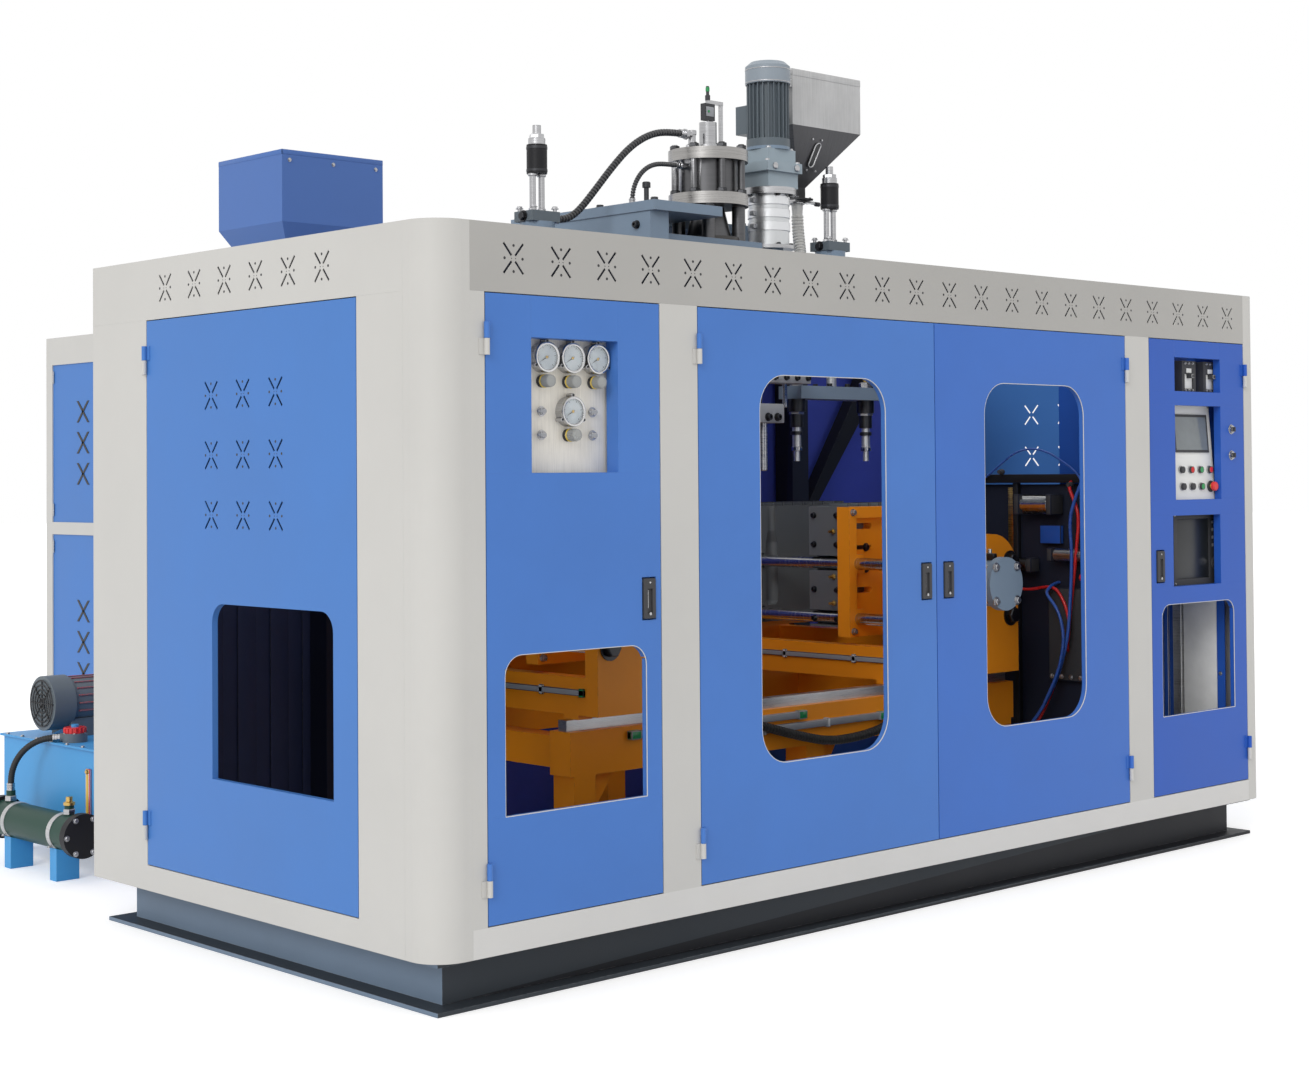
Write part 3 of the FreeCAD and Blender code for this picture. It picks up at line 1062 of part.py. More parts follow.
# ---- hydraulic unit --------------------------------------------------------------------------
def oil_tank():
    x0, x1, y0, y1 = TANK_X, TANK_X + TANK_LENGTH, TANK_Y, TANK_Y + TANK_DEPTH
    body = box(x0, x1, y0, y1, TANK_LEG, TANK_TOP)
    lid = box(x0 - 12, x1 + 12, y0 - 12, y1 + 12, TANK_TOP - 8, TANK_TOP)
    legs = [box(x, x + 60, y, y + 60, 0, TANK_LEG) for x in (x0 + 20, x1 - 80) for y in (y0 + 20, y1 - 80)]
    filter_head = [rod(FILTER_X, FILTER_Y, TANK_TOP, 46, 34), rod(FILTER_X, FILTER_Y, TANK_TOP + 34, 40, 22),
                   rod(FILTER_X, FILTER_Y, TANK_TOP + 56, 14, 10)]
    fx, fy = filter_port()
    way = vec(FILTER_X - fx, FILTER_Y - fy, 0)
    side_port = rod(fx, fy, TANK_TOP + 17, 16, way.Length, way)
    motor_y = y0 + 560
    pump = [rod(x0 + 40, motor_y, TANK_TOP + 130, 105, 90, RIGHT),
            rod(x0 + 130, motor_y, TANK_TOP + 130, 94, 260, RIGHT),
            box(x0 + 120, x0 + 400, motor_y - 80, motor_y + 80, TANK_TOP, TANK_TOP + 70)]
    keep("oil_tank", weld(body, lid, legs, filter_head, side_port, pump))


def far_port_y():
    return COOLER_Y + COOLER_LENGTH - 60


def filter_port():
    """The end of the filter's side port, which points at the cooler's far port."""
    run = math.hypot(COOLER_X - FILTER_X, far_port_y() - FILTER_Y)
    return (FILTER_X + (COOLER_X - FILTER_X) * FILTER_REACH / run,
            FILTER_Y + (far_port_y() - FILTER_Y) * FILTER_REACH / run)


def oil_cooler():
    x, z, y0 = COOLER_X, COOLER_Z, COOLER_Y
    shell = rod(x, y0, z, COOLER_RADIUS, COOLER_LENGTH, BACK)
    caps = [rod(x, y, z, COOLER_RADIUS + 14, 34, BACK) for y in (y0 - 22, y0 + COOLER_LENGTH - 12)]
    feet = [box(x - 45, x + 45, y, y + 50, 0, z - COOLER_RADIUS + 12) for y in (y0 + 100, y0 + COOLER_LENGTH - 150)]
    ports = [rod(x, y, z + COOLER_RADIUS - 10, 17, COOLER_PORT_Z - z - COOLER_RADIUS + 10)
             for y in (y0 + 90, far_port_y())]
    keep("oil_cooler", weld(shell, caps, feet, ports))


# ---- hoses ------------------------------------------------------------------------------------
def route_path(name, points):
    """Straight runs joined by tangent arcs, each as large as its two runs allow."""
    nodes = [vec(*p) for p in points]
    edges = []
    radii = []
    start = nodes[0]
    for before, here, after in zip(nodes, nodes[1:], nodes[2:]):
        into, out = here - before, after - here
        turn = into.getAngle(out)
        bend = 0.45 * min(into.Length, out.Length) / math.tan(turn / 2)
        radii.append(round(bend))
        trim = bend * math.tan(turn / 2)
        a = here - into * (trim / into.Length)
        c = here + out * (trim / out.Length)
        middle = (a + c) * 0.5
        inward = middle - here
        centre_gap = bend / math.cos(turn / 2)
        centre = here + inward * (centre_gap / inward.Length)
        b = centre + (here - centre) * (bend / centre_gap)
        edges.append(Part.LineSegment(start, a).toShape())
        edges.append(Part.Arc(a, b, c).toShape())
        start = c
    edges.append(Part.LineSegment(start, nodes[-1]).toShape())
    path = Part.Wire(edges)
    print(name, "radii", radii, "length", round(path.Length))
    return path


def route_tube(name, points, radius):
    path = route_path(name, points)
    circle = Part.Wire(Part.makeCircle(radius, vec(*points[0]), vec(*points[1]) - vec(*points[0])))
    hose = path.makePipeShell([circle], True, False)
    print(name, "volume share", round(hose.Volume / (math.pi * radius ** 2 * path.Length), 4))
    return hose


HEAD_HOSE_RADIUS = 13.0
SIDE_HOSE_RADIUS = 9.0
TANK_HOSE_RADIUS = 12.0


def hoses():
    y = MOULD_MIDDLE_Y
    long_route = [(LEFT_STATION_X + 62, y, 2346), (1408, y, 2346), (1456, y, 2362), (1502, y, 2398),
                  (1565, y, 2464), (1650, y, 2556), (1735, y, 2636), (1828, y, 2690), (1920, y, OIL_PORT_Z),
                  (OIL_PORT_X, y, OIL_PORT_Z)]
    keep("head_hose_long", route_tube("head_hose_long", long_route, HEAD_HOSE_RADIUS))
    side_route = [(1745, y, HEAD_BEAM_TOP + HEAD_PLATE_THICK), (1745, y, 2462), (1762, y, 2512), (1800, y, 2558),
                  (1855, y, 2586), (1925, y, SIDE_PORT_Z), (SIDE_PORT_X, y, SIDE_PORT_Z)]
    keep("head_hose_short", route_tube("head_hose_short", side_route, SIDE_HOSE_RADIUS))
    fx, fy = filter_port()
    run = math.hypot(COOLER_X - fx, far_port_y() - fy)
    across, along = (COOLER_X - fx) / run, (far_port_y() - fy) / run
    drop = [(0, 472), (45, 472), (92, 458), (133, 430), (162, 392), (178, 350), (run, 312), (run, COOLER_PORT_Z)]
    route = [(fx + across * d, fy + along * d, z) for d, z in drop]
    keep("tank_hose", route_tube("tank_hose", route, TANK_HOSE_RADIUS))


RIB_RADIUS = 24.0
RIB_DEPTH = 3.5
RIB_PITCH = 18.0
RIB_BORE = 18.0


def ribbed_hose():
    """The hopper's feed hose: ribs lofted as a wave of circles from the gate to the feed port."""
    cx, cy = outlet_place()
    top = gate_z()
    start = vec(cx, cy, top)
    end = vec(FEED_PORT_X, MOULD_MIDDLE_Y, FEED_PORT_Z)
    route = [start, vec(cx, cy, top - 60), vec(2733, 1198, 2400), vec(2722, 1180, 2335), vec(2698, 1150, 2275),
             vec(2664, 1118, 2236), vec(2622, MOULD_MIDDLE_Y, FEED_PORT_Z), end]
    points = [(p.x, p.y, p.z) for p in route]
    path = route_path("ribbed_hose", points)
    length = path.Length
    cuff = 2 * RIB_RADIUS
    count = int((length - 2 * cuff) // RIB_PITCH)
    pitch = (length - 2 * cuff) / count
    marks = [(0, RIB_RADIUS)]
    for i in range(count):
        low = cuff + i * pitch
        for share, radius in ((0, RIB_RADIUS - RIB_DEPTH), (0.25, RIB_RADIUS), (0.5, RIB_RADIUS),
                              (0.75, RIB_RADIUS - RIB_DEPTH)):
            marks.append((low + share * pitch, radius))
    marks += [(length - cuff, RIB_RADIUS - RIB_DEPTH), (length - cuff + 4, RIB_RADIUS), (length, RIB_RADIUS)]
    rings = []
    for far, radius in marks:
        place, along = place_on(path, far)
        side = along.cross(BACK)
        side.normalize()
        rings.append(ring_at(place, along, side, radius))
    skin = Part.makeLoft(rings, True, True)
    bore = path.makePipeShell([ring_at(start, DOWN, RIGHT, RIB_BORE)], True, False)
    keep("ribbed_hose", skin.cut(bore))


def ring_at(place, along, side, radius):
    """A circle square to the hose, whose seam always points the same way."""
    circle = Part.Circle(place, along, radius)
    circle.XAxis = side
    return Part.Wire(circle.toShape())


def place_on(path, far):
    """The point and the direction at a distance along a path."""
    for edge in path.Edges:
        if far <= edge.Length + 1e-6:
            at = edge.getParameterByLength(min(far, edge.Length))
            return edge.valueAt(at), edge.tangentAt(at)
        far -= edge.Length
    return path.Edges[-1].valueAt(path.Edges[-1].LastParameter), path.Edges[-1].tangentAt(0)


def build():
    os.makedirs("parts", exist_ok=True)
    base_frame()
    front_frame()
    side_frame("left_side_frame", "left")
    side_frame("right_side_frame", "right")
    vented_headers()
    rear_wall()
    doors()
    hinge_knuckles()
    handles()
    key_switches()
    gauge_panel()
    pressure_gauges()
    control_cabinet()
    control_devices()
    screen_dial()
    operator_panel()
    emergency_stop()
    machine_frame()
    slide_bed()
    head_beams()
    for side, x in (("left", LEFT_STATION_X), ("right", RIGHT_STATION_X)):
        carriage("carriage_" + side, x)
        tie_bars("tie_bars_" + side, x)
        platen("front_platen_" + side, x, True)
        platen("rear_platen_" + side, x, False)
        mould_half("front_mould_" + side, x, True)
        mould_half("rear_mould_" + side, x, False)
        blow_pins("blow_pins_" + side, x)
    pin_cylinders()
    die_head()
    position_sensor()
    colour_extruder()
    colour_motor()
    colour_hopper()
    hopper_gate()
    ribbed_hose()
    hoses()
    main_extruder()
    main_hopper()
    rear_cabinet()
    oil_tank()
    oil_cooler()


build()
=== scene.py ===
"""Looks of a two-station blow moulding machine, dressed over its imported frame.

Places are millimetres from the enclosure's front left corner at the floor, as on a workshop
drawing: X along the front, Y to the rear, Z up. Shape turns them into the frame's metres.
"""
import logging
import math
from dataclasses import dataclass, field
from enum import Enum
from functools import cache
from itertools import product
from typing import Callable, Iterable, Iterator, Sequence

import bmesh
import bpy
from mathutils import Matrix, Vector


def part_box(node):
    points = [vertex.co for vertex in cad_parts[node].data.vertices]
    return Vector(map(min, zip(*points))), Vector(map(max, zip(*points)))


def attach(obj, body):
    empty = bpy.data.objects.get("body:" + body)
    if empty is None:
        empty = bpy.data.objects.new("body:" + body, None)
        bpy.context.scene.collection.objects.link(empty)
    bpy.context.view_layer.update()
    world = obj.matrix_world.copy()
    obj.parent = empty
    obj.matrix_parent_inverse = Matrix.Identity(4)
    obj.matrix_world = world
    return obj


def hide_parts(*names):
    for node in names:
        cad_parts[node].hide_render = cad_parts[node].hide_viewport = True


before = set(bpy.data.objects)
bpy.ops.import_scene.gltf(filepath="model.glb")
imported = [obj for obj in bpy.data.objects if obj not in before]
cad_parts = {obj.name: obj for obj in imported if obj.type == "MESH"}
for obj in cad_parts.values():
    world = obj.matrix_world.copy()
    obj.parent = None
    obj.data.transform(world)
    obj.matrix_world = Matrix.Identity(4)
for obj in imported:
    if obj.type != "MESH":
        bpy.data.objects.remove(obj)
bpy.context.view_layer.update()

LOG = logging.getLogger("machine")

MILLIMETRE = 0.001
CORNER = Vector((2065.0, 920.0, 0.0))
TINY = 1e-6
CREASE = math.radians(35)
FACING_COSINE = 0.5
BEVEL_RAYS = 4
Colour = tuple[float, float, float, float]
Point = tuple[float, float, float]
Pair = tuple[float, float]
Test = Callable[[Vector, Vector], bool]
Tree = bpy.types.NodeTree
Node = bpy.types.Node
Socket = bpy.types.NodeSocket

UP: Point = (0.0, 0.0, 1.0)
DOWN: Point = (0.0, 0.0, -1.0)
FRONT: Point = (0.0, -1.0, 0.0)
REAR: Point = (0.0, 1.0, 0.0)
LEFT: Point = (-1.0, 0.0, 0.0)
RIGHT: Point = (1.0, 0.0, 0.0)


def paint(red: float, green: float, blue: float) -> Colour:
    """An opaque linear colour."""
    return (red, green, blue, 1.0)


def around(count: int, radius: float, first: float = 0.0) -> list[Pair]:
    """Evenly spaced places on a circle.

    Args:
        count: How many there are.
        radius: The circle's radius.
        first: Angle of the first place, in degrees.

    Returns:
        Each place as two offsets from the circle's middle.
    """
    turns = [math.radians(first) + math.tau * i / count for i in range(count)]
    return [(radius * math.cos(turn), radius * math.sin(turn)) for turn in turns]


# ---- shared surface effects ---------------------------------------------------------------
def join(tree: Tree, node: Node, inputs: dict) -> Node:
    """Set or connect inputs of a node.

    Args:
        tree: The material's or the group's nodes.
        node: The node that has the inputs.
        inputs: A constant or another node's socket for each input that is set.

    Returns:
        The same node.
    """
    for name, value in inputs.items():
        if isinstance(value, Socket):
            tree.links.new(value, node.inputs[name])
        else:
            node.inputs[name].default_value = value
    return node


def add(tree: Tree, kind: str, inputs: dict | None = None, **settings) -> Node:
    """Place a shader node, set it and join its inputs.

    Args:
        tree: The material's or the group's nodes.
        kind: The node's type, without its ShaderNode prefix.
        inputs: A constant or another node's socket for each input that is set.
        **settings: Properties of the node itself.

    Returns:
        The new node.
    """
    node = tree.nodes.new("ShaderNode" + kind)
    for name, value in settings.items():
        setattr(node, name, value)
    return join(tree, node, inputs or {})


def maths(tree: Tree, operation: str, first: Socket | float, second: Socket | float) -> Socket:
    """The result of an operation on two values."""
    return add(tree, "Math", {0: first, 1: second}, operation=operation).outputs[0]


def remap(tree: Tree, value: Socket, span: Pair = (0.0, 1.0), to: Pair = (0.0, 1.0)) -> Socket:
    """A value carried from one span to another and held at its ends."""
    return add(tree, "MapRange", {"Value": value, "From Min": span[0], "From Max": span[1],
                                  "To Min": to[0], "To Max": to[1]}).outputs["Result"]


def noise(tree: Tree, scale: Socket | float, detail: float, roughness: float = 0.5,
          stretch: Socket | None = None) -> Socket:
    """Noise over an object's own coordinates.

    Args:
        tree: The group's nodes.
        scale: How fine the noise is.
        detail: How many finer layers it has.
        roughness: How strong those layers are.
        stretch: A factor for each axis, or none.

    Returns:
        The noise's value.
    """
    place = add(tree, "TexCoord").outputs["Object"]
    if stretch is not None:
        place = add(tree, "VectorMath", {0: place, 1: stretch}, operation="MULTIPLY").outputs["Vector"]
    return add(tree, "TexNoise", {"Vector": place, "Scale": scale, "Detail": detail,
                                  "Roughness": roughness}).outputs["Fac"]


def rounded(tree: Tree, width: Socket) -> Socket:
    """The surface's normal with its edges rounded by a width."""
    return add(tree, "Bevel", {"Radius": width}, samples=BEVEL_RAYS).outputs["Normal"]


def raised(tree: Tree, height: Socket, start: Node) -> Socket:
    """The normal that a height gives, by the Depth and Edge inputs of its group."""
    return add(tree, "Bump", {"Height": height, "Distance": start.outputs["Depth"],
                              "Normal": rounded(tree, start.outputs["Edge"])}).outputs["Normal"]


def toned(tree: Tree, start: Node, value: Socket) -> Socket:
    """A group's colour, made lighter or darker by a factor."""
    return add(tree, "HueSaturation", {"Color": start.outputs["Colour"], "Value": value}).outputs["Color"]


def new_group(name: str, inputs: dict[str, str], outputs: dict[str, str]) -> tuple[Tree, Node, Node]:
    """Start a node group with named sockets.

    Args:
        name: The effect's name.
        inputs: Socket type by socket name.
        outputs: Socket type by socket name.

    Returns:
        The group's tree, its input node and its output node.
    """
    tree = bpy.data.node_groups.new(name, "ShaderNodeTree")
    for side, sockets in (("INPUT", inputs), ("OUTPUT", outputs)):
        for socket, kind in sockets.items():
            tree.interface.new_socket(socket, in_out=side, socket_type="NodeSocket" + kind)
    return tree, tree.nodes.new("NodeGroupInput"), tree.nodes.new("NodeGroupOutput")


@cache
def tone_drift() -> Tree:
    """Slow changes of a colour over a surface, as uneven paint and handling give."""
    tree, start, end = new_group("tone_drift", {"Colour": "Color", "Amount": "Float", "Scale": "Float"},
                                 {"Colour": "Color", "Mask": "Float"})
    mask = remap(tree, noise(tree, start.outputs["Scale"], 5.0, 0.6), (0.3, 0.7))
    swing = maths(tree, "MULTIPLY", maths(tree, "SUBTRACT", mask, 0.5), start.outputs["Amount"])
    join(tree, end, {"Colour": toned(tree, start, maths(tree, "ADD", swing, 1.0)), "Mask": mask})
    return tree


@cache
def fine_relief() -> Tree:
    """Orange peel, casting skin or moulded grain, on edges that are a little round."""
    tree, start, end = new_group("fine_relief", {"Scale": "Float", "Depth": "Float", "Edge": "Float"},
                                 {"Normal": "Vector"})
    join(tree, end, {"Normal": raised(tree, noise(tree, start.outputs["Scale"], 3.0), start)})
    return tree


@cache
def edge_wear() -> Tree:
    """Paint rubbed through along edges, broken up by noise."""
    tree, start, end = new_group(
        "edge_wear", {"Colour": "Color", "Worn": "Color", "Width": "Float", "Amount": "Float"},
        {"Colour": "Color", "Mask": "Float"})
    flat = add(tree, "NewGeometry").outputs["Normal"]
    match = add(tree, "VectorMath", {0: rounded(tree, start.outputs["Width"]), 1: flat},
                operation="DOT_PRODUCT").outputs["Value"]
    broken = remap(tree, noise(tree, 60.0, 6.0), (0.42, 0.6))
    rubbed = maths(tree, "MULTIPLY", remap(tree, match, (0.97, 0.8)), broken)
    mask = maths(tree, "MULTIPLY", rubbed, start.outputs["Amount"])
    worn = add(tree, "MixRGB", {"Fac": mask, "Color1": start.outputs["Colour"],
                                "Color2": start.outputs["Worn"]}).outputs["Color"]
    join(tree, end, {"Colour": worn, "Mask": mask})
    return tree


@cache
def tool_marks() -> Tree:
    """Fine parallel lines of brushing or turning, drawn out across the stretch vector."""
    tree, start, end = new_group(
        "tool_marks", {"Colour": "Color", "Stretch": "Vector", "Depth": "Float", "Edge": "Float"},
        {"Colour": "Color", "Mask": "Float", "Normal": "Vector"})
    marks = noise(tree, 1.0, 4.0, stretch=start.outputs["Stretch"])
    mask = remap(tree, marks, (0.3, 0.7))
    join(tree, end, {"Colour": toned(tree, start, remap(tree, mask, to=(0.82, 1.12))), "Mask": mask,
                     "Normal": raised(tree, marks, start)})
    return tree


def use_group(tree: Tree, effect: Tree, inputs: dict) -> Node:
    """Place a shared effect in a material and join its inputs."""
    return add(tree, "Group", inputs, node_tree=effect)


# ---- finishes -----------------------------------------------------------------------------
@dataclass(frozen=True)
class Finish:
    """A named surface finish, which makes its material once."""

    name: str
    colour: Colour
    roughness: float = 0.42
    play: Pair = (0.05, 0.05)
    drift: float = 0.06
    drift_scale: float = 2.2
    edge: float = 0.0015

    def material(self) -> bpy.types.Material:
        """The finish's material, made at its first use."""
        found = bpy.data.materials.get(self.name)
        if found:
            return found
        made = bpy.data.materials.new(self.name)
        made.use_nodes = True
        made.diffuse_color = self.colour
        self.mix(made.node_tree, made.node_tree.nodes["Principled BSDF"])
        return made

    def mix(self, tree: Tree, shader: Node) -> None:
        """Join the finish's effects to its shader."""
        raise NotImplementedError

    def _drifting(self, tree: Tree, colour: Colour | Socket) -> Node:
        """A colour with the finish's slow changes of tone."""
        return use_group(tree, tone_drift(), {"Colour": colour, "Amount": self.drift,
                                              "Scale": self.drift_scale})

    def _rough(self, tree: Tree, mask: Socket) -> Socket:
        """The finish's roughness, smoother where a mask is dark and rougher where it is light."""
        return remap(tree, mask, to=(self.roughness - self.play[0], self.roughness + self.play[1]))


@dataclass(frozen=True)
class Painted(Finish):
    """Sprayed or powder-coated metal, with rubbed edges where it is handled."""

    peel: float = 0.00002
    peel_scale: float = 420.0
    specular: float = 0.25
    wear: float = 0.0
    worn: Colour = (0.30, 0.30, 0.31, 1.0)

    def mix(self, tree: Tree, shader: Node) -> None:
        """Join drift, wear and orange peel to the shader."""
        drift = self._drifting(tree, self.colour)
        colour = drift.outputs["Colour"]
        if self.wear:
            worn = use_group(tree, edge_wear(), {"Colour": colour, "Worn": self.worn, "Width": 2 * self.edge,
                                                 "Amount": self.wear})
            colour = worn.outputs["Colour"]
        relief = use_group(tree, fine_relief(), {"Scale": self.peel_scale, "Depth": self.peel,
                                                 "Edge": self.edge})
        join(tree, shader, {"Base Color": colour, "Roughness": self._rough(tree, drift.outputs["Mask"]),
                            "Normal": relief.outputs["Normal"], "Specular IOR Level": self.specular})


@dataclass(frozen=True)
class Bare(Finish):
    """Bare metal with the lines of its brushing, grinding or turning."""

    roughness: float = 0.32
    play: Pair = (0.07, 0.09)
    drift: float = 0.16
    drift_scale: float = 7.0
    edge: float = 0.001
    stretch: Point = (8.0, 8.0, 900.0)
    depth: float = 0.00002
    metallic: float = 1.0

    def mix(self, tree: Tree, shader: Node) -> None:
        """Join the tool marks to the shader."""
        marks = use_group(tree, tool_marks(), {"Colour": self.colour, "Stretch": self.stretch,
                                               "Depth": self.depth, "Edge": self.edge})
        drift = self._drifting(tree, marks.outputs["Colour"])
        join(tree, shader, {"Base Color": drift.outputs["Colour"], "Metallic": self.metallic,
                            "Roughness": self._rough(tree, marks.outputs["Mask"]),
                            "Normal": marks.outputs["Normal"]})


@dataclass(frozen=True)
class Moulded(Finish):
    """Moulded plastic or rubber with a fine grain."""

    roughness: float = 0.45
    play: Pair = (0.06, 0.06)
    drift: float = 0.12
    drift_scale: float = 14.0
    edge: float = 0.0008
    grain: float = 900.0
    depth: float = 0.00004
    clear: float = 0.0

    def mix(self, tree: Tree, shader: Node) -> None:
        """Join the grain and a faint drift to the shader."""
        drift = self._drifting(tree, self.colour)
        relief = use_group(tree, fine_relief(), {"Scale": self.grain, "Depth": self.depth, "Edge": self.edge})
        join(tree, shader, {"Base Color": drift.outputs["Colour"], "Transmission Weight": self.clear,
                            "Roughness": self._rough(tree, drift.outputs["Mask"]),
                            "Normal": relief.outputs["Normal"]})


@dataclass(frozen=True)
class Glazed(Finish):
    """Glass or a glossy screen, faintly uneven."""

    roughness: float = 0.08
    drift: float = 0.25
    drift_scale: float = 9.0
    edge: float = 0.0004
    ripple: float = 30.0
    depth: float = 0.00002
    clear: float = 0.0

    def mix(self, tree: Tree, shader: Node) -> None:
        """Join a slow ripple and a drift of tone to the shader."""
        drift = self._drifting(tree, self.colour)
        relief = use_group(tree, fine_relief(), {"Scale": self.ripple, "Depth": self.depth,
                                                 "Edge": self.edge})
        join(tree, shader, {"Base Color": drift.outputs["Colour"], "Normal": relief.outputs["Normal"],
                            "Roughness": self.roughness, "Transmission Weight": self.clear})


ROUND_X: Point = (900.0, 8.0, 8.0)
ROUND_Y: Point = (8.0, 900.0, 8.0)
GREY_PANEL = Painted("grey_panel_paint", paint(0.54, 0.53, 0.505), drift=0.05)
# Painted light and shade: the sill is a lighter copy and the front header a darker copy of the grey panel
# paint.
LIT_SILL_PAINT = Painted("lit_sill_paint", paint(0.61, 0.60, 0.58), drift=0.05)
SHADED_HEADER_PAINT = Painted("shaded_front_header_paint", paint(0.40, 0.39, 0.37), drift=0.12, drift_scale=0.9)
# Painted light and shade: the doors share one blue paint. The side doors take a lighter copy, the right door
# a darker one and the control door the darkest, which is also the deep blue of the control cabinet, lower
# vessel and other parts.
LIGHTENED_SIDE_DOOR_PAINT = Painted("lightened_side_door_paint", paint(0.06, 0.185, 0.50), roughness=0.38, drift=0.07)
BLUE_PAINT = Painted("blue_door_paint", paint(0.062, 0.18, 0.52), roughness=0.36, drift=0.08)
SHADED_RIGHT_DOOR_PAINT = Painted("shaded_right_door_paint", paint(0.046, 0.148, 0.50), roughness=0.36, drift=0.08)
DEEP_BLUE_AND_SHADED_DOOR_PAINT = Painted("deep_blue_and_shaded_door_paint", paint(0.021, 0.095, 0.44), roughness=0.36, drift=0.08)
HOPPER_PAINT = Painted("main_hopper_paint", paint(0.075, 0.16, 0.42), roughness=0.45)
# Painted light and shade: the base frame's paint comes in three copies, lighter on its left face, darker on
# its front and darkest at the front's right end. The rubbed edges on all three are real wear.
BASE_PAINT = Painted("base_paint", paint(0.034, 0.041, 0.05), roughness=0.5, drift=0.16, wear=0.5)
LIT_BASE_SIDE_PAINT = Painted("lit_base_side_paint", paint(0.15, 0.205, 0.28), roughness=0.5, drift=0.16, wear=0.5)
SHADED_BASE_RIGHT_PAINT = Painted("shaded_base_right_paint", paint(0.013, 0.014, 0.018), roughness=0.5, drift=0.2, wear=0.4)
# Painted shade: a near-black paint for frames, sheets and blocks deep inside the enclosure.
SHADE_PAINT = Painted("painted_inner_shade", paint(0.012, 0.015, 0.03), roughness=0.55, drift=0.2)
REAR_PAINT = Painted("rear_wall_paint", paint(0.06, 0.09, 0.50), roughness=0.5, drift=0.2)
# Painted shade: dark navy strips that stand in for the shade inside the machine behind the service opening.
SHADE_CURTAIN_SHEET = Painted("shade_curtain_sheet", paint(0.032, 0.040, 0.095), roughness=0.5, drift=0.25)
BLACK_PAINT = Painted("black_frame_paint", paint(0.012, 0.012, 0.014), roughness=0.45, drift=0.3, wear=0.35)
# The steel's real orange paint, made lighter than it is as painted light against the shade inside the
# enclosure. The rubbed edges are real wear.
LIGHTENED_ORANGE_PAINT = Painted("lightened_orange_steel_paint", paint(0.98, 0.32, 0.014), roughness=0.38, drift=0.1, wear=0.7,
                       worn=(0.16, 0.09, 0.05, 1.0))
SLATE_PAINT = Painted("slate_steel_paint", paint(0.20, 0.265, 0.345), roughness=0.4, drift=0.14, wear=0.45)
MOTOR_PAINT = Painted("motor_paint", paint(0.12, 0.145, 0.165), roughness=0.42, drift=0.12, peel=0.00006)
COWL_PAINT = Painted("motor_cowl_paint", paint(0.27, 0.31, 0.35), roughness=0.38, drift=0.12)
GEAR_PAINT = Painted("gear_case_paint", paint(0.31, 0.375, 0.42), roughness=0.4, drift=0.2, peel=0.00012)
TANK_PAINT = Painted("tank_paint", paint(0.062, 0.31, 0.64), roughness=0.4, drift=0.1, wear=0.3)
COOLER_PAINT = Painted("cooler_paint", paint(0.014, 0.05, 0.036), roughness=0.4, drift=0.25)
WHITE_PAINT = Painted("white_panel_paint", paint(0.74, 0.74, 0.72), roughness=0.4, drift=0.03)
# Real pale paint of the control cabinet's duct, also used as a painted highlight round the windows.
PALE_PAINT_AND_EDGE_HIGHLIGHT = Painted("pale_duct_paint_and_edge_highlight", paint(0.62, 0.61, 0.58), roughness=0.45, drift=0.06)
RED_PAINT = Painted("red_mark_paint", paint(0.55, 0.02, 0.02), roughness=0.35)
STEEL = Bare("ground_steel", paint(0.46, 0.46, 0.47), roughness=0.3)
RIM_STEEL = Bare("flange_rim_steel", paint(0.36, 0.35, 0.34), roughness=0.3)
MID_STEEL = Bare("head_body_steel", paint(0.12, 0.12, 0.125), roughness=0.36)
TURNED = Bare("turned_steel", paint(0.26, 0.26, 0.26), roughness=0.26)
TURNED_Y = Bare("turned_steel_rods", paint(0.55, 0.55, 0.55), roughness=0.2, stretch=ROUND_Y)
CHROME = Bare("chrome", paint(0.42, 0.42, 0.43), roughness=0.12, depth=0.000004)
STAINLESS = Bare("brushed_stainless", paint(0.48, 0.48, 0.48), roughness=0.42, stretch=ROUND_X, metallic=0.35)
# Painted shade: a darker copy of the hopper steel for its lower cone.
HOPPER_SHADE = Bare("shaded_hopper_cone_steel", paint(0.085, 0.085, 0.09), roughness=0.34, stretch=ROUND_X,
                    metallic=0.6)
MOULD_STEEL = Bare("mould_steel", paint(0.045, 0.045, 0.048), roughness=0.4, stretch=ROUND_X)
DARK_STEEL = Bare("oiled_steel", paint(0.055, 0.056, 0.06), roughness=0.38)
HEAD_STEEL = Bare("hot_head_steel", paint(0.085, 0.082, 0.08), roughness=0.42)
SHEET_STEEL = Bare("gauge_sheet", paint(0.80, 0.76, 0.68), roughness=0.42, stretch=ROUND_X, metallic=0.1)
ALUMINIUM = Bare("aluminium", paint(0.27, 0.27, 0.275), roughness=0.36, stretch=ROUND_Y)
BRASS = Bare("brass", paint(0.62, 0.42, 0.14), roughness=0.28)
BLACK_PLASTIC = Moulded("black_plastic", paint(0.013, 0.013, 0.014), roughness=0.36)
RUBBER = Moulded("black_rubber", paint(0.012, 0.012, 0.012), roughness=0.6)
SPIRAL_GUARD = Moulded("spiral_guard", paint(0.045, 0.045, 0.047), roughness=0.3)
GREY_PLASTIC = Moulded("grey_plastic", paint(0.30, 0.31, 0.33), roughness=0.4)
CLEAR_PLASTIC = Moulded("translucent_knob", paint(0.44, 0.45, 0.44), roughness=0.25, clear=0.35)
WHITE_PLASTIC = Moulded("white_plastic", paint(0.72, 0.72, 0.70), roughness=0.4)
HOSE_PLASTIC = Moulded("ribbed_hose_plastic", paint(0.70, 0.69, 0.66), roughness=0.45)
RED_PLASTIC = Moulded("red_plastic", paint(0.62, 0.018, 0.02), roughness=0.3)
GREEN_PLASTIC = Moulded("green_plastic", paint(0.01, 0.26, 0.07), roughness=0.3)
YELLOW_PLASTIC = Moulded("yellow_plastic", paint(0.70, 0.50, 0.06), roughness=0.35)
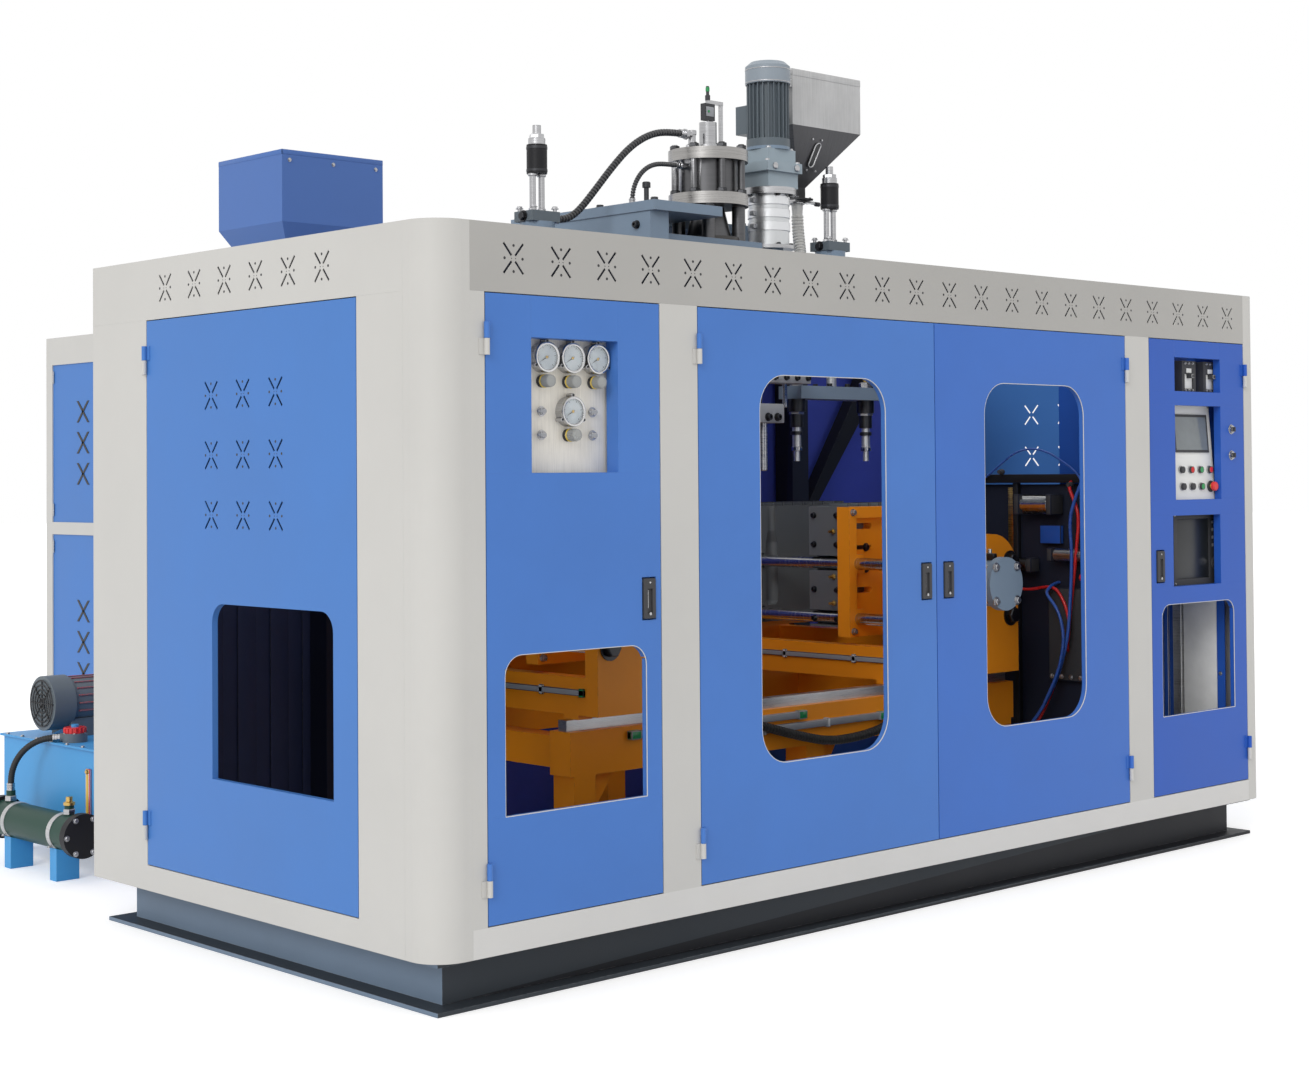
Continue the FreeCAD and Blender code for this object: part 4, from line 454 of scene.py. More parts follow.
BLUE_TUBE = Moulded("blue_air_tube", paint(0.03, 0.10, 0.42), roughness=0.3)
DIAL_FACE = Moulded("dial_face", paint(0.70, 0.76, 0.80), roughness=0.4, depth=0.00001)
# Real print for dial marks and needles, and painted shade in the perforations and rear cabinet vents.
INK_AND_HOLE_SHADE = Moulded("mark_ink_and_hole_shade", paint(0.02, 0.02, 0.022), roughness=0.5)
LENS = Glazed("gauge_lens", paint(0.96, 0.97, 0.98), clear=1.0, roughness=0.02)
SCREEN = Glazed("grey_screen", paint(0.17, 0.19, 0.20), roughness=0.12)
DARK_SCREEN = Glazed("dark_screen", paint(0.012, 0.014, 0.016), roughness=0.32)


# ---- mesh building ------------------------------------------------------------------------
class BoltHead(Enum):
    """The kinds of screw head on the machine."""

    HEX = "hex"
    SOCKET = "socket"


class Shape:
    """One visible piece, put together from turned, folded and swept forms in millimetres."""

    def __init__(self, name: str) -> None:
        """Start an empty piece with that name."""
        self.name = name
        self.mesh = bmesh.new()
        self.finishes: list[Finish] = []

    def _own(self, faces: Sequence[bmesh.types.BMFace], finish: Finish) -> None:
        """Give new faces their finish."""
        if finish not in self.finishes:
            self.finishes.append(finish)
        for face in faces:
            face.material_index = self.finishes.index(finish)
            face.smooth = True

    def box(self, low: Point, high: Point, finish: Finish, ease: float = 1.0) -> None:
        """Add a block with eased edges.

        Args:
            low: Its lowest corner.
            high: Its highest corner.
            finish: Its surface.
            ease: How far its edges are rounded.
        """
        spans = [(low[i], high[i]) for i in range(3)]
        verts = [self.mesh.verts.new((x, y, z)) for x in spans[0] for y in spans[1] for z in spans[2]]
        sides = ((0, 1, 3, 2), (4, 6, 7, 5), (0, 4, 5, 1), (2, 3, 7, 6), (0, 2, 6, 4), (1, 5, 7, 3))
        faces = [self.mesh.faces.new([verts[i] for i in side]) for side in sides]
        self._own(faces, finish)
        if ease > 0:
            edges = {edge for face in faces for edge in face.edges}
            bmesh.ops.bevel(self.mesh, geom=list(edges), offset=ease, segments=2, affect="EDGES", profile=0.5)

    def lathe(self, profile: Sequence[Pair], base: Point, axis: Point, finish: Finish,
              steps: int = 28, turn: float = 0.0) -> None:
        """Turn a profile about an axis.

        Args:
            profile: Radius and height pairs from the base up.
            base: Where the axis starts.
            axis: The axis's direction.
            finish: The surface.
            steps: Sides round the axis.
            turn: Angle of the first side, in radians.
        """
        stand = Vector(UP).rotation_difference(Vector(axis)).to_matrix().to_4x4()
        place = Matrix.Translation(Vector(base)) @ stand
        rows = []
        for radius, height in profile:
            count = 1 if radius < TINY else steps
            angles = [turn + math.tau * i / steps for i in range(count)]
            corners = [Vector((radius * math.cos(a), radius * math.sin(a), height)) for a in angles]
            rows.append([self.mesh.verts.new(place @ corner) for corner in corners])
        faces = []
        for low, high in zip(rows, rows[1:]):
            for i in range(steps):
                j = (i + 1) % steps
                corners = [low[i % len(low)], low[j % len(low)], high[j % len(high)], high[i % len(high)]]
                once = list(dict.fromkeys(corners))
                if len(once) > 2:
                    faces.append(self.mesh.faces.new(once))
        self._own(faces, finish)

    def rod(self, base: Point, axis: Point, radius: float, length: float, finish: Finish,
            ease: float = 1.0, steps: int = 28) -> None:
        """Add a turned rod with eased rims.

        Args:
            base: The middle of its first end.
            axis: The direction of its length.
            radius: Its radius.
            length: Its length.
            finish: Its surface.
            ease: How far its rims are rounded.
            steps: Sides round it.
        """
        ease = min(ease, radius / 3, length / 3)
        profile = [(0, 0), (radius - ease, 0), (radius, ease), (radius, length - ease),
                   (radius - ease, length), (0, length)]
        self.lathe(profile, base, axis, finish, steps)

    def ring(self, base: Point, axis: Point, inner: float, outer: float, length: float, finish: Finish,
             steps: int = 36) -> None:
        """Add a turned ring with eased rims.

        Args:
            base: The middle of its first face.
            axis: The direction of its length.
            inner: Its bore's radius.
            outer: Its own radius.
            length: Its length.
            finish: Its surface.
            steps: Sides round it.
        """
        ease = min(1.0, (outer - inner) / 4, length / 3)
        profile = [(inner, 0), (outer - ease, 0), (outer, ease), (outer, length - ease),
                   (outer - ease, length), (inner, length), (inner, 0)]
        self.lathe(profile, base, axis, finish, steps)

    def nut(self, base: Point, axis: Point, hole: float, radius: float, height: float, finish: Finish,
            cut: Pair = (3.0, 3.0)) -> None:
        """Add a six-sided nut with a cut rim on top.

        Args:
            base: The middle of its seat.
            axis: The direction from its seat to its top.
            hole: Its bore's radius, or 0 for a cap.
            radius: Its radius over the corners.
            height: Its height.
            finish: Its surface.
            cut: How far the rim is cut inward and down.
        """
        profile = [(hole, 0), (radius, 0), (radius, height - cut[1]), (radius - cut[0], height),
                   (hole, height)]
        self.lathe(profile, base, axis, finish, 6)

    def ferrule(self, base: Point, axis: Point, radius: float) -> None:
        """Add the crimped sleeve where a hose meets its port.

        Args:
            base: The middle of its end on the port.
            axis: The direction in which the hose leaves.
            radius: The hose's radius.
        """
        outer = radius + 3
        groove = outer - 1.4
        self.lathe([(radius - 2, 0), (outer, 0), (outer, 7), (groove, 8), (groove, 10), (outer, 11),
                    (outer, 17), (groove, 18), (groove, 20), (outer, 21), (outer, 27), (radius - 2, 28),
                    (radius - 2, 0)], base, axis, CHROME, 26)

    def bolt(self, base: Point, axis: Point, radius: float, finish: Finish,
             head: BoltHead = BoltHead.HEX) -> None:
        """Add a washer and the head of a screw on it.

        Args:
            base: The middle of the washer's seat.
            axis: The direction that the head looks in.
            radius: The head's radius.
            finish: The surface of both.
            head: The kind of head.
        """
        seat = 0.2 * radius
        self.lathe([(0, 0), (1.35 * radius, 0), (1.35 * radius, seat), (0, seat)], base, axis, finish, 20)
        start = tuple(Vector(base) + Vector(axis).normalized() * seat)
        if head is BoltHead.HEX:
            profile, steps = ((0, 0), (1, 0), (1, 0.6), (0.86, 0.72), (0, 0.72)), 6
        else:
            profile, steps = ((0, 0), (1, 0), (1, 1.0), (0.9, 1.1), (0.5, 1.1), (0.5, 0.55), (0, 0.55)), 18
        self.lathe([(across * radius, up * radius) for across, up in profile], start, axis, finish, steps)

    def bolts(self, xs: Iterable[float], ys: Iterable[float], zs: Iterable[float], axis: Point, radius: float,
              finish: Finish, head: BoltHead = BoltHead.HEX) -> None:
        """Add a screw at every combination of places.

        Args:
            xs: Places along X.
            ys: Places along Y.
            zs: Heights.
            axis: The direction that the heads look in.
            radius: The heads' radius.
            finish: Their surface.
            head: The kind of head.
        """
        for place in product(xs, ys, zs):
            self.bolt(place, axis, radius, finish, head)

    def prism(self, outline: Sequence[Point], push: Point, finish: Finish) -> None:
        """Push a closed flat outline along a vector."""
        low = [self.mesh.verts.new(p) for p in outline]
        high = [self.mesh.verts.new(Vector(p) + Vector(push)) for p in outline]
        count = len(low)
        faces = [self.mesh.faces.new(low), self.mesh.faces.new(list(reversed(high)))]
        faces += [self.mesh.faces.new((low[i], low[(i + 1) % count], high[(i + 1) % count], high[i]))
                  for i in range(count)]
        self._own(faces, finish)

    def sweep(self, path: Sequence[Vector], radii: Sequence[float], finish: Finish, steps: int = 14,
              closed: bool = False) -> None:
        """Carry a circle of changing radius along a path.

        Args:
            path: The points that the circle's centre follows.
            radii: Its radius at each point.
            finish: The surface.
            steps: Sides round the path.
            closed: Whether the path's end joins its start.
        """
        count = len(path)
        side = None
        rows = []
        for i, here in enumerate(path):
            before = path[i - 1] if i or closed else here
            after = path[(i + 1) % count] if i < count - 1 or closed else here
            along = (after - before).normalized()
            if side is None:
                side = along.orthogonal().normalized()
            side = (side - along * side.dot(along)).normalized()
            up = along.cross(side)
            turns = [math.tau * j / steps for j in range(steps)]
            rows.append([self.mesh.verts.new(here + (side * math.cos(t) + up * math.sin(t)) * radii[i])
                         for t in turns])
        pairs = list(zip(rows, rows[1:])) + ([(rows[-1], rows[0])] if closed else [])
        faces = [self.mesh.faces.new((low[j], low[(j + 1) % steps], high[(j + 1) % steps], high[j]))
                 for low, high in pairs for j in range(steps)]
        if not closed:
            faces += [self.mesh.faces.new(rows[0]), self.mesh.faces.new(list(reversed(rows[-1])))]
        self._own(faces, finish)

    def build(self, body: str, slot: str, metres: bool = False) -> bpy.types.Object:
        """Make the piece in the frame's metres and let it ride on a body.

        Args:
            body: The body of the frame that carries it.
            slot: The record's material slot name; not used.
            metres: Whether its points already are metres in the frame.

        Returns:
            The finished object.
        """
        if not metres:
            scale = Matrix.Scale(MILLIMETRE, 4) @ Matrix.Translation(-CORNER)
            bmesh.ops.transform(self.mesh, matrix=scale, verts=self.mesh.verts)
        bmesh.ops.recalc_face_normals(self.mesh, faces=self.mesh.faces)
        data = bpy.data.meshes.new(self.name)
        self.mesh.to_mesh(data)
        self.mesh.free()
        data.set_sharp_from_angle(angle=CREASE)
        for finish in self.finishes:
            data.materials.append(finish.material())
        piece = bpy.data.objects.new(self.name, data)
        bpy.context.scene.collection.objects.link(piece)
        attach(piece, body)
        LOG.info("%s: %d faces on %s", self.name, len(data.polygons), body)
        return piece


@dataclass(frozen=True)
class Zone:
    """A stretch of a frame node that has a finish of its own."""

    finish: Finish
    holds: Test


def in_box(x: Pair | None = None, y: Pair | None = None, z: Pair | None = None) -> Test:
    """A test for faces whose middle lies between drawing limits, in millimetres."""
    limits = [(i, span) for i, span in enumerate((x, y, z)) if span]

    def test(centre: Vector, _: Vector) -> bool:
        """Whether a face's middle lies within the limits."""
        place = centre / MILLIMETRE + CORNER
        return all(low <= place[i] <= high for i, (low, high) in limits)

    return test


def near_axis(x: float, y: float, reach: float, z: Pair) -> Test:
    """A test for faces within a reach of an upright axis, between two heights."""

    def test(centre: Vector, _: Vector) -> bool:
        """Whether a face's middle lies near the axis."""
        place = centre / MILLIMETRE + CORNER
        return math.hypot(place.x - x, place.y - y) <= reach and z[0] <= place.z <= z[1]

    return test


def facing(way: Point, inside: Test | None = None) -> Test:
    """A test for faces that look along a direction, perhaps only inside another test."""
    aim = Vector(way)

    def test(centre: Vector, normal: Vector) -> bool:
        """Whether a face looks that way."""
        return normal.dot(aim) > FACING_COSINE and (inside is None or inside(centre, normal))

    return test


def dress(node: str, finish: Finish, *zones: Zone) -> None:
    """Give a frame node its finish, and each of its zones its own.

    Args:
        node: The frame node's name.
        finish: What most of it shows.
        *zones: Stretches with other finishes. The first that holds a face has it.
    """
    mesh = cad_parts[node].data
    mesh.materials.clear()
    for each in (finish, *[zone.finish for zone in zones]):
        mesh.materials.append(each.material())
    for polygon in mesh.polygons:
        held = [i for i, zone in enumerate(zones, 1) if zone.holds(polygon.center, polygon.normal)]
        polygon.material_index = held[0] if held else 0
    LOG.info("%s dressed in %s", node, finish.name)


# ---- stage --------------------------------------------------------------------------------
@dataclass
class Studio:
    """Camera, soft lamps, pale floor and white surround."""

    position: Point = (-5.471, -5.407, 1.446)
    right: Point = (0.72860, -0.68489, -0.00751)
    up: Point = (-0.00868, -0.02020, 0.99976)
    forward: Point = (0.68488, 0.72836, 0.02066)
    lens: float = 57.85
    sensor: float = 36.0
    rise: float = -0.0859
    clip: Pair = (0.05, 200.0)
    ambient: float = 0.85
    key: float = 0.95
    floor_half: float = 60.0
    floor_drop: float = 0.0005
    floor_tone: float = 0.86
    floor_glow: float = 0.36

    def build(self) -> None:
        """Set the whole stage."""
        bpy.context.scene.view_settings.view_transform = "Standard"
        self._camera()
        self._surround()
        self._floor()
        self._lamp("key_lamp", (0.8, 0.35, -0.45), self.key, 25.0)
        self._lamp("fill_lamp", (0.7, 0.5, -0.6), 0.3 * self.key, 60.0)

    def _camera(self) -> None:
        """The camera at the photograph's place."""
        data = bpy.data.cameras.new("photo_camera")
        data.sensor_width = self.sensor
        data.sensor_fit = "HORIZONTAL"
        data.lens = self.lens
        data.shift_y = self.rise
        data.clip_start, data.clip_end = self.clip
        camera = bpy.data.objects.new("photo_camera", data)
        columns = [Vector(self.right), Vector(self.up), -Vector(self.forward)]
        turned = Matrix(columns).transposed().to_4x4()
        camera.matrix_world = Matrix.Translation(Vector(self.position)) @ turned
        bpy.context.scene.collection.objects.link(camera)
        bpy.context.scene.camera = camera

    @staticmethod
    def _seen(tree: Tree) -> Socket:
        """A mask of the rays that show the surround itself and don't light the machine."""
        rays = add(tree, "LightPath").outputs
        straight = maths(tree, "MAXIMUM", rays["Is Camera Ray"], rays["Is Glossy Ray"])
        return maths(tree, "MAXIMUM", straight, rays["Is Transmission Ray"])

    def _surround(self) -> None:
        """A white surround to the camera, and plain soft light to the machine."""
        world = bpy.data.worlds.new("studio")
        bpy.context.scene.world = world
        world.use_nodes = True
        tree = world.node_tree
        tree.nodes.clear()
        white = paint(1.0, 1.0, 1.0)
        light = add(tree, "Background", {"Color": white, "Strength": self.ambient})
        shown = add(tree, "Background", {"Color": white, "Strength": 1.0})
        both = add(tree, "MixShader", {0: self._seen(tree), 1: light.outputs[0], 2: shown.outputs[0]})
        add(tree, "OutputWorld", {"Surface": both.outputs[0]})

    def _floor(self) -> None:
        """A pale floor that keeps the machine's shadow."""
        half = self.floor_half
        data = bpy.data.meshes.new("floor")
        corners = [(-half, -half, 0), (half, -half, 0), (half, half, 0), (-half, half, 0)]
        data.from_pydata(corners, [], [(0, 1, 2, 3)])
        made = bpy.data.materials.new("pale_floor")
        made.use_nodes = True
        tree = made.node_tree
        tree.nodes.clear()
        matt = add(tree, "BsdfDiffuse", {"Color": paint(self.floor_tone, self.floor_tone, self.floor_tone)})
        glow = maths(tree, "MULTIPLY", self._seen(tree), self.floor_glow)
        shown = add(tree, "Emission", {"Color": paint(1.0, 1.0, 1.0), "Strength": glow})
        both = add(tree, "AddShader", {0: matt.outputs[0], 1: shown.outputs[0]})
        add(tree, "OutputMaterial", {"Surface": both.outputs[0]})
        data.materials.append(made)
        floor = bpy.data.objects.new("floor", data)
        floor.location.z = -self.floor_drop
        bpy.context.scene.collection.objects.link(floor)

    @staticmethod
    def _lamp(name: str, aim: Point, strength: float, spread: float) -> None:
        """Add a far soft lamp.

        Args:
            name: The lamp's name.
            aim: The direction that it shines in.
            strength: Its power.
            spread: How wide it is in the sky, in degrees.
        """
        data = bpy.data.lights.new(name, "SUN")
        data.energy = strength
        data.angle = math.radians(spread)
        lamp = bpy.data.objects.new(name, data)
        lamp.rotation_mode = "QUATERNION"
        lamp.rotation_quaternion = Vector(aim).to_track_quat("-Z", "Y")
        bpy.context.scene.collection.objects.link(lamp)


# ---- hoses --------------------------------------------------------------------------------
@dataclass(frozen=True)
class HoseRun:
    """A flexible hose between two ports, laid along points in the frame's metres."""

    name: str
    route: tuple[Point, ...]
    radius: float
    length: float
    finish: Finish
    slot: str
    rib_pitch: float
    rib_depth: float
    cuff: float
    node: str | None = None
    stiffness: str = "medium"
    lay: str = "loose"

    def centreline(self) -> list[Vector]:
        """Points along the smooth line that the route's control points draw."""
        curve = bpy.data.curves.new(self.name + "_line", "CURVE")
        curve.dimensions = "3D"
        curve.resolution_u = 24
        spline = curve.splines.new("NURBS")
        spline.points.add(len(self.route) - 1)
        for point, place in zip(spline.points, self.route):
            point.co = (*place, 1.0)
        spline.order_u = 3
        spline.use_endpoint_u = True
        holder = bpy.data.objects.new(self.name + "_line", curve)
        bpy.context.scene.collection.objects.link(holder)
        line = bpy.data.meshes.new_from_object(holder)
        points = [vertex.co.copy() for vertex in line.vertices]
        bpy.data.objects.remove(holder)
        bpy.data.meshes.remove(line)
        return points

    def _marks(self, total: float) -> Iterator[Pair]:
        """Distances along the hose and the radius at each, rib after rib between plain cuffs."""
        yield 0.0, self.radius
        count = max(1, int((total - 2 * self.cuff) // self.rib_pitch))
        pitch = (total - 2 * self.cuff) / count
        low = self.radius - self.rib_depth
        for i in range(count):
            start = self.cuff + i * pitch
            for share, radius in ((0.0, low), (0.18, low), (0.36, self.radius), (0.82, self.radius)):
                yield start + share * pitch, radius
        yield total - self.cuff, low
        yield total - self.cuff + 0.002, self.radius
        yield total, self.radius

    def build(self, body: str) -> bpy.types.Object:
        """Args:
            body: The body of the frame that carries it.

        Returns:
            The finished object.
        """
        line = self.centreline()
        reach = [0.0]
        for before, here in zip(line, line[1:]):
            reach.append(reach[-1] + (here - before).length)
        path, radii = [], []
        for far, radius in self._marks(reach[-1]):
            i = next((k for k, r in enumerate(reach) if r >= far - TINY), len(reach) - 1)
            i = max(i, 1)
            share = (far - reach[i - 1]) / max(reach[i] - reach[i - 1], TINY)
            path.append(line[i - 1].lerp(line[i], min(max(share, 0.0), 1.0)))
            radii.append(radius)
        shape = Shape(self.name)
        shape.sweep(path, radii, self.finish, 24)
        piece = shape.build(body, self.slot, metres=True)
        if self.node:
            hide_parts(self.node)
        return piece


HEAD_LONG = HoseRun(
    "long_head_hose", ((-0.707, 0.180, 2.346), (-0.657, 0.180, 2.346), (-0.609, 0.180, 2.362),
                       (-0.563, 0.180, 2.398), (-0.500, 0.180, 2.464), (-0.415, 0.180, 2.556),
                       (-0.330, 0.180, 2.636), (-0.237, 0.180, 2.690), (-0.145, 0.180, 2.712),
                       (-0.053, 0.180, 2.712)),
    0.013, 0.784, SPIRAL_GUARD, "rubber_black", 0.0135, 0.0042, 0.03, "head_hose_long")
HEAD_SHORT = HoseRun(
    "short_head_hose", ((-0.320, 0.180, 2.422), (-0.320, 0.180, 2.462), (-0.303, 0.180, 2.512),
                        (-0.265, 0.180, 2.558), (-0.210, 0.180, 2.586), (-0.140, 0.180, 2.592),
                        (-0.073, 0.180, 2.592)),
    0.009, 0.349, SPIRAL_GUARD, "rubber_black", 0.0105, 0.0028, 0.024, "head_hose_short")
TANK_LINE = HoseRun(
    "tank_line", ((-1.6485, 1.9520, 0.472), (-1.6847, 1.9787, 0.472), (-1.7226, 2.0066, 0.458),
                  (-1.7556, 2.0309, 0.430), (-1.7789, 2.0481, 0.392), (-1.7918, 2.0576, 0.350),
                  (-1.7950, 2.0600, 0.312), (-1.7950, 2.0600, 0.278)),
    0.012, 0.307, RUBBER, "rubber_black", 0.009, 0.0008, 0.03, "tank_hose")
FEED_HOSE = HoseRun(
    "feed_hose", ((0.670, 0.285, 2.526), (0.670, 0.285, 2.466), (0.668, 0.278, 2.400), (0.657, 0.260, 2.335),
                  (0.633, 0.230, 2.275), (0.599, 0.198, 2.236), (0.557, 0.180, 2.225), (0.510, 0.180, 2.225)),
    0.024, 0.418, HOSE_PLASTIC, "ribbed_plastic", 0.013, 0.0035, 0.048, "ribbed_hose")


def drawn(*points: Point) -> tuple[Point, ...]:
    """Drawing points as places in the frame, in metres."""
    return tuple(tuple((Vector(point) - CORNER) * MILLIMETRE) for point in points)


def air_tube(name: str, finish: Finish, radius: float, *points: Point) -> HoseRun:
    """A plain air tube through drawing points, as long as its route."""
    return HoseRun(name, drawn(*points), radius, 0.0, finish, "rubber_black", 0.03, 0.0, 0.01)


AIR_TUBES = (
    air_tube("red_air_tube", RED_PLASTIC, 0.0065, (3386, 330, 1416), (3340, 330, 1416), (3296, 322, 1396),
             (3290, 283, 1326), (3290, 267, 1267), (3290, 283, 1139), (3290, 299, 1010), (3290, 314, 898),
             (3290, 330, 793), (3290, 368, 676), (3290, 450, 500), (3290, 501, 450)),
    air_tube("blue_air_tube_run", BLUE_TUBE, 0.0065, (3386, 236, 1448), (3330, 236, 1448), (3278, 241, 1420),
             (3270, 272, 1343), (3270, 298, 1266), (3270, 288, 1139), (3270, 293, 1028), (3270, 301, 916),
             (3270, 312, 813), (3270, 346, 696), (3270, 389, 603), (3270, 461, 498), (3270, 507, 449)),
    air_tube("lower_blue_tube", BLUE_TUBE, 0.006, (3386, 410, 1020), (3330, 412, 1020), (3262, 410, 985),
             (3252, 371, 952), (3252, 339, 912), (3252, 318, 839), (3252, 322, 762), (3252, 352, 660),
             (3252, 410, 560)),
    air_tube("lower_red_tube", RED_PLASTIC, 0.006, (3386, 360, 740), (3340, 358, 744), (3312, 345, 780),
             (3310, 330, 855), (3310, 344, 921), (3310, 371, 974), (3310, 409, 1009), (3310, 528, 985),
             (3310, 622, 999), (3310, 730, 1005), (3308, 850, 1010), (3304, 932, 1012)),
    air_tube("arched_air_tube", BLUE_TUBE, 0.004, (3386, 276, 1340), (3340, 274, 1340), (3314, 266, 1368),
             (3312, 268, 1412), (3312, 300, 1454), (3312, 364, 1493), (3312, 430, 1528), (3312, 508, 1543),
             (3312, 589, 1525), (3312, 660, 1476), (3312, 740, 1420), (3308, 850, 1380), (3304, 932, 1372)),
    HoseRun("bed_conduit", drawn((1610, 522, 628), (1640, 486, 622), (1777, 474, 587), (1950, 474, 540),
                                 (2113, 474, 508), (2345, 474, 523), (2520, 480, 580), (2570, 522, 604)),
            0.016, 0.0, RUBBER, "rubber_black", 0.014, 0.004, 0.014))


# ---- sub-assemblies -----------------------------------------------------------------------
@dataclass
class Enclosure:
    """Base, frames, headers, doors and their small trims."""

    length: float = 4130.0
    depth: float = 1840.0
    vent_height: float = 2048.0
    vent_pitch: float = 173.0
    first_front_vent: float = 284.0
    front_vents: int = 22
    last_side_vent: float = 1378.0
    side_vents: int = 6
    door_vent_rows: tuple[float, ...] = (1700.0, 1518.0, 1336.0)
    door_vent_columns: tuple[float, ...] = (1108.0, 931.0, 754.0)
    dot_across: float = 32.0
    dot_up: float = 36.0
    dot_radius: float = 4.2
    highlight_radius: float = 1.6
    windows: dict[str, tuple[float, ...]] = field(default_factory=lambda: {
        "left": (1258, 1850, 555, 1755, 110, 110),
        "right": (2370, 2948, 570, 1757, 110, 110),
        "gauge": (245, 775, 515, 955, 0, 60),
        "control": (3438, 3940, 520, 942, 0, 50)})

    def dress(self) -> None:
        """Finish the enclosure's frame nodes."""
        # The base's left face is painted light and the front's right end painted shade.
        dress("base_frame", BASE_PAINT, Zone(LIT_BASE_SIDE_PAINT, facing(LEFT, in_box(x=(-1, 120)))),
              Zone(SHADED_BASE_RIGHT_PAINT, in_box(x=(2600, 4200), y=(-1, 120))))
        front = facing(FRONT, in_box(y=(-1, 1)))
        inner = Zone(BLUE_PAINT, facing(REAR, in_box(y=(2, 1800))))
        # The sill zone takes the lighter copy of the grey paint, painted light.
        dress("front_frame", GREY_PANEL, Zone(LIT_SILL_PAINT, in_box((190, 4000), (-1, 1), (140, 224))))
        dress("left_side_frame", GREY_PANEL)
        dress("right_side_frame", GREY_PANEL)
        # The header's front zone takes the darker copy of the grey paint, painted shade.
        dress("vented_headers", GREY_PANEL, Zone(SHADED_HEADER_PAINT, front))
        dress("rear_wall", REAR_PAINT, Zone(GREY_PANEL, facing(REAR, in_box(y=(1835, 1845)))))
        dress("door_gauge", BLUE_PAINT)
        dress("door_left", BLUE_PAINT, inner)
        # The right and control doors take darker copies of the door blue (painted shade), and the side doors
        # a lighter copy (painted light).
        dress("door_right", SHADED_RIGHT_DOOR_PAINT, inner)
        dress("door_control", DEEP_BLUE_AND_SHADED_DOOR_PAINT)
        dress("door_side_left", LIGHTENED_SIDE_DOOR_PAINT)
        dress("door_side_right", LIGHTENED_SIDE_DOOR_PAINT)
        dress("hinge_knuckles", GREY_PANEL, Zone(CHROME, facing(UP)))
        for name in ("gauge", "left", "right", "control"):
            dress("handle_" + name, BLACK_PLASTIC)

    def _dot(self, shape: Shape, place: Point, out: Point, radius: float) -> None:
        """One small round perforation, shown as a dark disc of painted shade set in the sheet."""
        base = tuple(Vector(place) - Vector(out) * 0.8)
        shape.lathe([(0, 0), (radius, 0), (radius, 1.0), (0.7 * radius, 1.1), (0, 1.1)], base, out,
                    INK_AND_HOLE_SHADE, 10)

    def _vent(self, shape: Shape, middle: Point, along: Point, out: Point) -> None:
        """Add the round perforations of one cross-shaped vent.

        Args:
            shape: The piece that they belong to.
            middle: The cross's middle.
            along: The level direction of its sheet.
            out: The direction that the sheet looks in.
        """
        centre, across = Vector(middle), Vector(along)
        for way, far, radius in ((across, self.dot_across, self.dot_radius),
                                 (Vector(UP), self.dot_up, self.dot_radius), (across, 7.0, 1.7)):
            for sign in (-1, 1):
                self._dot(shape, tuple(centre + way * far * sign), out, radius)

    def perforations(self) -> None:
        """Add the small round holes round every vent as discs of painted shade, and dark shade liners."""
        front = Shape("header_perforations")
        for i in range(self.front_vents):
            middle = (self.first_front_vent + i * self.vent_pitch, 0, self.vent_height)
            self._vent(front, middle, RIGHT, FRONT)
        for i in range(self.side_vents):
            y = self.last_side_vent - i * self.vent_pitch
            self._vent(front, (0, y, self.vent_height), REAR, LEFT)
            self._vent(front, (self.length, y, self.vent_height), REAR, RIGHT)
        front.build("machine", "panel_grey")
        for side, x, out in (("left", 0.0, LEFT), ("right", self.length, RIGHT)):
            leaf = Shape(side + "_side_door_perforations")
            for z in self.door_vent_rows:
                for y in self.door_vent_columns:
                    self._vent(leaf, (x, y, z), REAR, out)
            if side == "left":
                self._shade_liner(leaf, (6, 672, 1264), (9, 1190, 1772))
            leaf.build(side + "_side_door", "door_blue")
        liner = Shape("header_shade_liners")
        self._shade_liner(liner, (120, 6, 1968), (4000, 9, 2126))
        self._shade_liner(liner, (6, 130, 1968), (9, 1780, 2126))
        liner.build("machine", "panel_grey")

    @staticmethod
    def _shade_liner(shape: Shape, low: Point, high: Point) -> None:
        """Add a dark ribbed sheet close behind perforated sheet, as painted shade in the vents.

        Args:
            shape: The piece that it belongs to.
            low: Its lowest corner.
            high: Its highest corner.
        """
        shape.box(low, high, SHADE_PAINT, 0.8)
        along = 0 if high[0] - low[0] > 20 else 1
        other = 1 - along
        count = int((high[along] - low[along]) // 55)
        for i in range(count + 1):
            start, end = list(low), list(high)
            start[along] = low[along] + i * (high[along] - low[along] - 6) / count
            end[along] = start[along] + 6
            start[other], end[other] = high[other], high[other] + 4
            shape.box(tuple(start), tuple(end), BLACK_PAINT, 0.6)

    @staticmethod
    def outline(x0: float, x1: float, z0: float, z1: float, low: float, high: float,
                y: float) -> list[Vector]:
        """The rounded outline of an upright window.

        Args:
            x0: Its left side.
            x1: Its right side.
            z0: Its sill.
            z1: Its top.
            low: Radius of its lower corners.
            high: Radius of its upper corners.
            y: How far back it lies.

        Returns:
            Its points in order.
        """
        points = []
        for x, z, radius, start in ((x0, z0, low, 180), (x1, z0, low, 270), (x1, z1, high, 0),
                                    (x0, z1, high, 90)):
            radius = max(radius, 1.0)
            cx = x + radius if x == x0 else x - radius
            cz = z + radius if z == z0 else z - radius
            steps = 10 if radius > 1 else 2
            for i in range(steps + 1):
                turn = math.radians(start + 90 * i / steps)
                points.append(Vector((cx + radius * math.cos(turn), y, cz + radius * math.sin(turn))))
        return points

